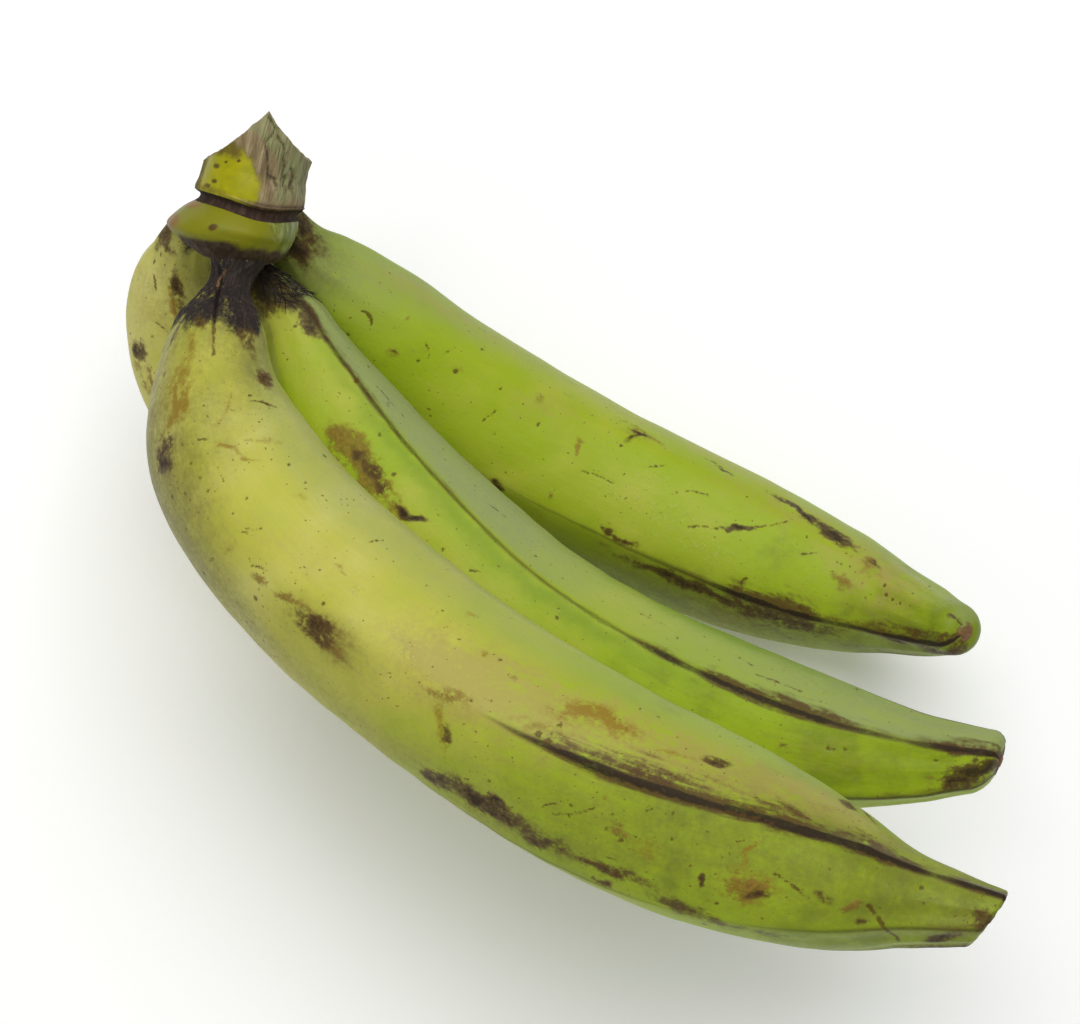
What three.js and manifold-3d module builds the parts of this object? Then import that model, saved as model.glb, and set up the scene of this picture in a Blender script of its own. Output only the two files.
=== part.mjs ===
// A hand of four green plantains, still joined to the cut crown of their stalk and lying on a flat
// surface. Millimetres, +Z up, z = 0 is the surface, and the origin is under the middle of the box.
import * as THREE from "three";
import { mergeVertices } from "three/addons/utils/BufferGeometryUtils.js";
import Module from "manifold-3d";

// Driving dimensions. FACE is the direction that every ridge angle is measured from, and a positive
// turn is towards the inside of the curve. ORIGIN is the origin of the finished part, in the frame
// that the spines and the crown are drawn in.
const FACE = new THREE.Vector3(0, -0.407, 0.914);
const ORIGIN = new THREE.Vector3(2.47, -2.54, -97.2);
const SOCKET_GAP = 0.35; // air between a finger's neck and its socket in the crown
const RIDGES = 5;
const SIDES = 20; // four to each facet, so that a corner falls on every ridge
const RINGS = 50;
const RING_CROWDING = 0.05; // how far the rings crowd towards both ends, as a share of the length
const TIP = { round: 1.8, ring: 0.7, ringGirth: 0.72 }; // the dome, and where its one ring stands
const LEAN_FROM = 0.92; // share of the length where the lean of the blunt end starts
const RIDGE_FULLNESS = 0.07; // an angular section is this much larger, because girth is a half width
const HALF_SPACE = 400; // edge of the block that cuts the resting flats

const PEEL = new THREE.MeshStandardMaterial({ color: 0xa8b443, roughness: 0.45, metalness: 0 });
const PEEL_GREEN = new THREE.MeshStandardMaterial({ color: 0x8ea52a, roughness: 0.45, metalness: 0 });
const CROWN_SKIN = new THREE.MeshStandardMaterial({ color: 0x8c8433, roughness: 0.6, metalness: 0 });

// One entry for each finger. spine: the six control points of its centre line, from inside the crown
// to the tip. girth: share of the length, then the radius there. turn: the angle of the main ridge in
// degrees, as a + b s + c s^2 of the share s. edge: how angular the section is at the neck end and at
// the tip end, from 0, round, to 1, a pentagon. slant: degrees by which the blunt end leans over. pull:
// how far the neck is drawn aside where it leaves the crown, and how much of the length that takes.
const FINGERS = {
  finger_front: {
    material: PEEL,
    spine: [[-82, 75, 23], [-105, 6, 1], [-76, -6, 12], [-38, -43, 16], [4, -96, 15], [109.3, -120.8, 26.5]],
    pull: { aside: [0, 0, 0], reach: 0.1 },
    girth: [[0, 5.9], [0.03, 5.7], [0.055, 6.2], [0.068, 8.6], [0.085, 12], [0.13, 16], [0.21, 22.5],
      [0.36, 25.3], [0.52, 25.4], [0.68, 25.8], [0.79, 23.8], [0.88, 18.8], [0.94, 12.2], [1, 8.1]],
    turn: [-9, -49, 112],
    edge: [0.2, 0.5],
    slant: 26,
  },
  finger_middle: {
    material: PEEL_GREEN,
    spine: [[-76, 82, 7], [-66, 33, -22], [-34, -7, -34], [11, -43, -33], [59, -64, -22], [119.6, -71.6, -1.3]],
    pull: { aside: [-10.5, -2, -2], reach: 0.1 },
    girth: [[0, 6.2], [0.04, 6.8], [0.085, 9.6], [0.13, 13.4], [0.21, 19.7], [0.36, 24.6], [0.52, 24.3],
      [0.68, 23.6], [0.79, 20.2], [0.88, 15.2], [0.94, 11.4], [1, 8.2]],
    turn: [35, 4, -16],
    edge: [0.5, 0.5],
    slant: 22,
  },
  finger_back: {
    material: PEEL_GREEN,
    spine: [[-73, 95, 8], [-44, 61, -58], [15, 44, -88], [72, 19, -84], [106, -6, -62], [118.8, -23.6, -29]],
    pull: { aside: [-4, -3, 0], reach: 0.25 },
    girth: [[0, 6.4], [0.055, 8.6], [0.085, 12.2], [0.13, 16], [0.21, 20.2], [0.36, 24.3], [0.52, 25.5],
      [0.68, 24], [0.79, 19.5], [0.88, 13.2], [0.94, 10.1], [1, 7.4]],
    turn: [-72, 138, -114],
    edge: [0.35, 0.45],
    slant: 0,
  },
  finger_under: {
    material: PEEL,
    spine: [[-95, 86, 12], [-124, 78, -28], [-95, 48, -67], [-45, 6, -86], [8, -32, -83], [52, -67, -67]],
    pull: { aside: [0, 0, 0], reach: 0.1 },
    girth: [[0, 6.4], [0.055, 8.4], [0.085, 12.2], [0.13, 16.6], [0.21, 20.6], [0.36, 22.7], [0.52, 22.2],
      [0.68, 20.9], [0.79, 18], [0.88, 14], [0.94, 10.8], [1, 8.4]],
    turn: [6, -6, 0],
    edge: [0.35, 0.5],
    slant: 0,
  },
};

// The crown: a chunk of stalk in two tiers with a groove between them. Its own frame has Z along the
// chunk, X across it and Y to the back. Each level: height, half width, half depth, middle in X and Y.
const CROWN = {
  place: [-82.5, 86.5, 14.5],
  leanDeg: 59,
  rollDeg: 13,
  yawDeg: 6.3,
  squareness: 2.4, // exponent of the level's oval: 2 is an ellipse
  levels: [
    [-14.2, 7, 8, -3, -11], [-12.8, 10.5, 12.5, -2.9, -9.5], [-10.8, 14.4, 18, -3.4, -6],
    [-9, 16.6, 22, -4.3, -3.6], [-7.4, 17.3, 24.5, -4.3, -2], [-4.8, 17, 26, -3.2, -1],
    [-2, 16, 25.5, -2, 0], [0, 14.6, 24, -1, 0], [0.9, 13.8, 23, -0.8, 0], [2.4, 13.9, 23, -0.5, 0],
    [3.4, 15.4, 24, -0.8, 0], [7, 15.2, 24.3, -0.3, 0], [11, 14.6, 23.6, -0.7, 0],
  ],
  sides: 40,
  // The two scooped cuts that freed the hand, each from an outer corner of the chunk up to its peak.
  peak: [-0.3, 28.4],
  cutCorners: [[-15.3, 11.4], [13.7, 17.8]],
  scoops: [1, 1],
  cutRings: [1, 0.8, 0.6, 0.4, 0.2], // the cut face's rings, as shares of the top level
};

const wasm = await Module();
wasm.setup();

// Reads a [share, value] table as a smooth curve: a cubic through the points, whose slope at each
// point is that of the line between its neighbours.
function smooth(table, s) {
  const last = table.length - 1;
  const i = Math.min(Math.max(table.findIndex((row) => row[0] > s) - 1, 0), last - 1);
  const k = s >= table[last][0] ? last - 1 : i;
  const slope = (j) => {
    const a = table[Math.max(j - 1, 0)];
    const b = table[Math.min(j + 1, last)];
    return (b[1] - a[1]) / (b[0] - a[0]);
  };
  const [x0, y0] = table[k];
  const [x1, y1] = table[k + 1];
  const h = x1 - x0;
  const u = (s - x0) / h;
  return (
    y0 * (1 + 2 * u) * (1 - u) ** 2 +
    y1 * u ** 2 * (3 - 2 * u) +
    h * slope(k) * u * (1 - u) ** 2 -
    h * slope(k + 1) * u ** 2 * (1 - u)
  );
}

// A Bezier curve through the space that any number of control points spans. The centre line is this
// curve, drawn aside near its start.
class Spine extends THREE.Curve {
  constructor(points, pull) {
    super();
    this.points = points.map((p) => new THREE.Vector3(...p).sub(ORIGIN));
    this.aside = new THREE.Vector3(...pull.aside);
    this.reach = pull.reach;
    this.arcLengthDivisions = 400;
  }
  getPoint(t) {
    let row = this.points;
    while (row.length > 1) row = row.slice(1).map((p, i) => row[i].clone().lerp(p, t));
    return row[0];
  }
  centreAt(s) {
    return this.getPointAt(s).addScaledVector(this.aside, 1 - THREE.MathUtils.smoothstep(s, 0, this.reach));
  }
  wayAt(s) {
    const before = Math.max(s - 1e-3, 0);
    const after = Math.min(s + 1e-3, 1);
    return this.centreAt(after).sub(this.centreAt(before)).normalize();
  }
}

// How far the section of `edge` stands in from its ridges at an angle from the main ridge.
function sectionShare(angle, edge) {
  const half = Math.PI / RIDGES;
  const fromFacet = THREE.MathUtils.euclideanModulo(angle, 2 * half) - half;
  return 1 - edge + (edge * Math.cos(half)) / Math.cos(fromFacet);
}

// One finger as a closed grid: rings along the spine, a fan at the neck end and a blunt domed tip.
function fingerGeometry({ spine, pull, girth, turn, edge, slant }, grow = 0) {
  const curve = new Spine(spine, pull);
  const lean = Math.tan(THREE.MathUtils.degToRad(slant));
  const positions = [];
  const addRing = (centre, tangent, s, shrink) => {
    const out = FACE.clone().addScaledVector(tangent, -FACE.dot(tangent)).normalize();
    const side = new THREE.Vector3().crossVectors(out, tangent).normalize();
    const mainRidge = THREE.MathUtils.degToRad(turn[0] + turn[1] * s + turn[2] * s * s);
    const angular = THREE.MathUtils.lerp(edge[0], edge[1], s);
    const leanHere = lean * THREE.MathUtils.smoothstep(s, LEAN_FROM, 1);
    for (let k = 0; k < SIDES; k++) {
      const around = (2 * Math.PI * k) / SIDES;
      const ridge = smooth(girth, s) * (1 + RIDGE_FULLNESS * angular);
      const r = ridge * sectionShare(around, angular) * shrink + grow;
      const sideways = r * Math.sin(mainRidge + around);
      const p = centre
        .clone()
        .addScaledVector(out, r * Math.cos(mainRidge + around))
        .addScaledVector(side, sideways)
        .addScaledVector(tangent, leanHere * sideways);
      positions.push(p.x, p.y, p.z);
    }
  };
  for (let i = 0; i <= RINGS; i++) {
    const even = i / RINGS;
    const s = even - RING_CROWDING * Math.sin(2 * Math.PI * even);
    const tangent = curve.wayAt(s);
    addRing(curve.centreAt(s).addScaledVector(tangent, i ? 0 : -grow), tangent, s, 1);
  }
  const tipWay = curve.wayAt(1);
  const tip = curve.centreAt(1);
  addRing(tip.clone().addScaledVector(tipWay, TIP.round * TIP.ring + grow), tipWay, 1, TIP.ringGirth);
  const rings = RINGS + 2;
  const start = curve.centreAt(0).addScaledVector(curve.wayAt(0), -grow);
  const end = tip.addScaledVector(tipWay, TIP.round + grow);
  positions.push(start.x, start.y, start.z, end.x, end.y, end.z);
  return gridGeometry(positions, rings, SIDES);
}

// Joins `rings` rings of `sides` points, and the two pole points that follow them, into a closed
// surface that faces out.
function gridGeometry(positions, rings, sides) {
  const index = [];
  for (let i = 0; i < rings - 1; i++)
    for (let k = 0; k < sides; k++) {
      const a = i * sides + k;
      const b = i * sides + ((k + 1) % sides);
      index.push(a, a + sides, b, b, a + sides, b + sides);
    }
  const first = rings * sides;
  for (let k = 0; k < sides; k++) {
    const next = (k + 1) % sides;
    index.push(first, k, next);
    index.push(first + 1, (rings - 1) * sides + next, (rings - 1) * sides + k);
  }
  const geometry = new THREE.BufferGeometry();
  geometry.setAttribute("position", new THREE.Float32BufferAttribute(positions, 3));
  geometry.setIndex(index);
  return geometry;
}

function crownFrame() {
  const { place, leanDeg, rollDeg, yawDeg } = CROWN;
  const euler = new THREE.Euler(...[-leanDeg, rollDeg, yawDeg].map(THREE.MathUtils.degToRad), "XYZ");
  const at = new THREE.Vector3(...place).sub(ORIGIN);
  return new THREE.Matrix4().makeRotationFromEuler(euler).setPosition(at);
}

// Height of the cut face over the point at x across the chunk.
function cutHeight(x) {
  const { peak, cutCorners, scoops } = CROWN;
  const cut = x < peak[0] ? 0 : 1;
  const corner = cutCorners[cut];
  const t = (x - corner[0]) / (peak[0] - corner[0]);
  return THREE.MathUtils.lerp(corner[1], peak[1], t) - 4 * scoops[cut] * t * (1 - t);
}

// The crown: ovals stacked along its own Z, closed at the top by the cut face.
function crownGeometry() {
  const { levels, sides, squareness, cutRings } = CROWN;
  const top = levels.at(-1);
  const positions = [];
  const addRing = ([z, a, b, x, y], share, heightAt) => {
    for (let k = 0; k < sides; k++) {
      const angle = (-2 * Math.PI * k) / sides; // clockwise from above, which makes the faces look out
      const c = Math.cos(angle);
      const s = Math.sin(angle);
      const r = (Math.abs(c) ** squareness + Math.abs(s) ** squareness) ** (-1 / squareness);
      const across = x + share * a * r * c;
      positions.push(across, y + share * b * r * s, heightAt ? heightAt(across) : z);
    }
  };
  for (const level of levels) addRing(level, 1);
  for (const share of cutRings) addRing(top, share, cutHeight);
  const bottom = levels[0];
  positions.push(bottom[3], bottom[4], bottom[0], top[3], top[4], cutHeight(top[3]));
  return gridGeometry(positions, levels.length + cutRings.length, sides);
}

function solidOf(geometry) {
  const bare = geometry.clone();
  for (const name of Object.keys(bare.attributes)) if (name !== "position") bare.deleteAttribute(name);
  const merged = mergeVertices(bare, 1e-4);
  const solid = new wasm.Manifold(
    new wasm.Mesh({
      numProp: 3,
      vertProperties: new Float32Array(merged.attributes.position.array),
      triVerts: new Uint32Array(merged.index.array),
    }),
  );
  if (solid.volume() < 0) throw new Error("a surface faces inwards");
  return solid;
}

function meshOf(name, solid, material) {
  const { vertProperties, triVerts } = solid.getMesh();
  const geometry = new THREE.BufferGeometry();
  geometry.setAttribute("position", new THREE.BufferAttribute(vertProperties, 3));
  geometry.setIndex(new THREE.BufferAttribute(triVerts, 1));
  geometry.computeVertexNormals();
  const mesh = new THREE.Mesh(geometry, material);
  mesh.name = name;
  return mesh;
}

const below = solidOf(
  new THREE.BoxGeometry(HALF_SPACE, HALF_SPACE, HALF_SPACE).translate(0, 0, -HALF_SPACE / 2),
);
const hand = new THREE.Group();
hand.name = "plantain_hand";

let crown = solidOf(crownGeometry().applyMatrix4(crownFrame()));
for (const [name, finger] of Object.entries(FINGERS)) {
  crown = crown.subtract(solidOf(fingerGeometry(finger, SOCKET_GAP)));
  const resting = solidOf(fingerGeometry(finger)).subtract(below);
  hand.add(meshOf(name, resting, finger.material));
}
hand.add(meshOf("crown", crown, CROWN_SKIN));

export default hand;
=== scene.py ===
"""A hand of green plantains on its cut crown, lying on a plain pale floor.

Every finger is one surface worked out on a grid: rings of five blunt ridges carried along a Bezier
spine. Scars, stains and scuffs are fields on that surface, which the peel's material turns into
colour, gloss and relief. Lengths are in millimetres and angles in degrees until a mesh is made.
"""

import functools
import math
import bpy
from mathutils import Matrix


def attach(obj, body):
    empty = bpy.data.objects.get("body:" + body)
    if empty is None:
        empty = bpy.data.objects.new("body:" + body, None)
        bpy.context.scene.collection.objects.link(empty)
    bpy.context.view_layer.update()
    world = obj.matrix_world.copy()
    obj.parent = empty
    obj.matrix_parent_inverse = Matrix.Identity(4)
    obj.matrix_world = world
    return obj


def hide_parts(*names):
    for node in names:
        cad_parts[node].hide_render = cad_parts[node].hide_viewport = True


bl_info = {
    "name": "Plantain Hand",
    "version": (1, 0, 0),
    "blender": (4, 5, 0),
    "location": "View3D > Sidebar > Plantains",
    "description": "Green plantains on their cut crown, with waxy scarred peel, on a plain stage",
    "category": "Object",
}

import bpy
import mathutils
import numpy as np
from bpy.props import FloatProperty, FloatVectorProperty, IntProperty, PointerProperty

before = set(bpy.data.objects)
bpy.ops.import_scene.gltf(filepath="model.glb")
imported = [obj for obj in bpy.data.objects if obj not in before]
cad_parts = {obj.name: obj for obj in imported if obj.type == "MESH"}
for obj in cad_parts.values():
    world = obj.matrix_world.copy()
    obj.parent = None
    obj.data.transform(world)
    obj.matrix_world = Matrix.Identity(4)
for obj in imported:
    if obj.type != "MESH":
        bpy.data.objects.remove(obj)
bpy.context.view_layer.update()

MM = 0.001
FACE = np.array([0.0, -0.407, 0.914])  # every ridge angle is measured from this way
ORIGIN = np.array([2.47, -2.54, -97.2])  # the part's origin, in the frame that the spines are drawn in
RIDGES = 5
RIDGE_STEP = 360 / RIDGES
RIDGE_FULLNESS = 0.07  # an angular section is this much larger, because girth is a half width
LEAN_FROM = 0.92  # share of the length where the lean of the blunt end starts
TIP_ROUND = 1.8  # how far the middle of the blunt end stands out
NICK_FAR = 4.0  # stands for the distance to a nick, in mm, where there is none
RIM_ROWS, FACE_ROWS = 11, 13  # rings on the rounded edge of the blunt end, and on its face
SPINE_STEPS = 3000  # straight steps that the length of a spine is added up from

# spine: six control points of the centre line, from inside the crown to the tip. pull: how far the
# neck is drawn aside where it leaves the crown, and how much of the length that takes. girth: share of
# the length, then the radius there. turn: the angle of the main ridge, as a + b s + c s^2. edge: how
# angular the section is at the neck and at the tip. slant: how far the blunt end leans over. rim: radius
# of the end's rounded edge. yellow: share of the length, then how yellow the peel is there. dusty: where
# round the finger the dull bloom and its painted sheen lie, from and to, and how wide their borders are.
# dust: share of the length, then how thick the bloom and the painted sheen are there. neck: how far down
# the dark dry skin of the neck reaches. wear: for each ridge, share of the length and how worn its crest is.
FINGERS = {
    "finger_front": {
        "spine": [[-82, 75, 23], [-105, 6, 1], [-76, -6, 12], [-38, -43, 16], [4, -96, 15],
                  [109.3, -120.8, 26.5]],
        "pull": [0, 0, 0, 0.1],
        "girth": [[0, 7], [0.02, 8.2], [0.033, 7], [0.045, 5.7], [0.055, 6.1], [0.068, 8.6], [0.085, 12],
                  [0.13, 16], [0.21, 22.5], [0.36, 25.3], [0.52, 25.4], [0.68, 25.8], [0.79, 23.8],
                  [0.88, 18.8], [0.94, 12.2], [1, 8.1]],
        "turn": [-9, -49, 112], "edge": [0.2, 0.5], "slant": 26, "rim": 1.8,
        "yellow": [[0, 0.95], [0.2, 1.05], [0.42, 1], [0.6, 0.3], [0.75, -0.2], [0.93, -0.4], [1, -0.3]],
        "bloom_and_sheen_side": [48, 118, 16], "dust_and_sheen": [[0, 0.5], [1, 0.5]], "neck": 30,
        "wear": {0: [[0.56, 0], [0.6, 0.3], [0.635, 0.5], [0.65, 0.65], [0.68, 0.95], [0.71, 1], [0.74, 0.85],
                     [0.78, 0.75], [0.82, 1], [0.86, 0.9], [0.9, 0.95], [0.935, 0.7], [0.95, 0.35],
                     [0.97, 0.6], [1, 0.6]],
                 4: [[0.5, 0], [0.56, 0.2], [0.7, 0.25], [0.8, 0.1], [0.9, 0.25], [1, 0.3]],
                 1: [[0.75, 0], [0.86, 0.25], [0.97, 0.3]], 2: [[0.5, 0], [0.8, 0.4], [0.97, 0.5]],
                 3: [[0.4, 0], [0.7, 0.4], [0.97, 0.5]]},
    },
    "finger_middle": {
        "spine": [[-76, 82, 7], [-66, 33, -22], [-34, -7, -34], [11, -43, -33], [59, -64, -22],
                  [119.6, -71.6, -1.3]],
        "pull": [-10.5, -2, -2, 0.1],
        "girth": [[0, 6.2], [0.04, 6.8], [0.085, 9.6], [0.13, 13.4], [0.21, 19.7], [0.36, 24.6], [0.52, 24.3],
                  [0.68, 23.6], [0.79, 20.2], [0.88, 15.2], [0.94, 11.4], [1, 8.2]],
        "turn": [35, 4, -16], "edge": [0.5, 0.42], "slant": 22, "rim": 5,
        "yellow": [[0, 0.7], [0.08, 0.6], [0.15, 0.1], [0.25, 0], [0.4, 0.25], [0.6, 0.08], [1, -0.35]],
        "bloom_and_sheen_side": [3, 76, 3], "neck": 11,
        "dust_and_sheen": [[0, 0.95], [0.42, 0.95], [0.58, 0.3], [0.72, 0.5], [0.86, 0.9], [1, 0.9]],
        "wear": {0: [[0.06, 0.2], [0.12, 0.4], [0.2, 0.42], [0.3, 0.34], [0.45, 0.28], [0.62, 0.3],
                     [0.67, 0.55], [0.7, 0.4], [0.73, 0.7], [0.8, 0.75], [0.86, 0.5], [0.92, 0.3],
                     [0.95, 0.55], [1, 0.6]],
                 1: [[0.3, 0], [0.6, 0.2], [0.97, 0.4]], 4: [[0.5, 0], [0.8, 0.3], [0.97, 0.4]],
                 2: [[0.5, 0], [0.8, 0.4], [0.97, 0.5]], 3: [[0.4, 0], [0.7, 0.3], [0.97, 0.5]]},
    },
    "finger_back": {
        "spine": [[-73, 95, 8], [-44, 61, -58], [15, 44, -88], [72, 19, -84], [106, -6, -62],
                  [118.8, -23.6, -29]],
        "pull": [-4, -3, 0, 0.25],
        "girth": [[0, 6.4], [0.055, 9.6], [0.085, 13.2], [0.13, 16.4], [0.21, 20.2], [0.36, 24.3],
                  [0.52, 25.5], [0.68, 24], [0.79, 19.5], [0.88, 13.2], [0.94, 10.1], [1, 7.4]],
        "turn": [-72, 138, -114], "edge": [0.35, 0.3], "slant": 0, "rim": 5.6,
        "yellow": [[0, -0.4], [0.1, -0.2], [0.3, 0.1], [0.5, 0.28], [0.7, 0.2], [0.85, -0.3], [1, -0.5]],
        "bloom_and_sheen_side": [100, 175, 22], "dust_and_sheen": [[0, 0.7], [0.3, 0.4], [0.7, 0.1], [0.86, 0.5], [1, 0.6]], "neck": 3,
        "wear": {0: [[0.33, 0], [0.4, 0.12], [0.52, 0.25], [0.6, 0.3], [0.68, 0.35], [0.72, 0.7], [0.79, 0.8],
                     [0.84, 0.4], [0.9, 0.5], [0.95, 0.7], [1, 0.8]],
                 4: [[0.6, 0], [0.8, 0.3], [0.92, 0.5], [0.97, 0]],
                 2: [[0.5, 0], [0.8, 0.4], [0.94, 0.2], [0.97, 0]],
                 3: [[0.4, 0], [0.7, 0.4], [0.94, 0.3], [0.97, 0]]},
    },
    "finger_under": {
        "spine": [[-95, 86, 12], [-124, 78, -28], [-95, 48, -67], [-45, 6, -86], [8, -32, -83],
                  [52, -67, -67]],
        "pull": [0, 0, 0, 0.1],
        "girth": [[0, 6.4], [0.055, 9.4], [0.085, 13.2], [0.13, 16.8], [0.21, 20.6], [0.36, 22.7],
                  [0.52, 22.2], [0.68, 20.9], [0.79, 18], [0.88, 14], [0.94, 10.8], [1, 8.4]],
        "turn": [6, -6, 0], "edge": [0.35, 0.5], "slant": 0, "rim": 3,
        "yellow": [[0, 1], [0.05, 1.25], [0.12, 1.5], [0.3, 1.1], [0.5, 0.8], [1, 0.3]],
        "bloom_and_sheen_side": [100, 200, 25], "dust_and_sheen": [[0, 0.5], [1, 0.5]], "neck": 5,
        "wear": {0: [[0.03, 0.1], [0.1, 0.2], [0.2, 0.1], [0.6, 0.3], [0.9, 0.5], [1, 0.6]],
                 1: [[0.3, 0], [0.6, 0.3], [0.97, 0.5]], 4: [[0.5, 0], [0.8, 0.3], [0.97, 0.5]],
                 2: [[0.5, 0], [0.8, 0.4], [0.97, 0.5]], 3: [[0.4, 0], [0.7, 0.4], [0.97, 0.5]]},
    },
}
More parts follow.
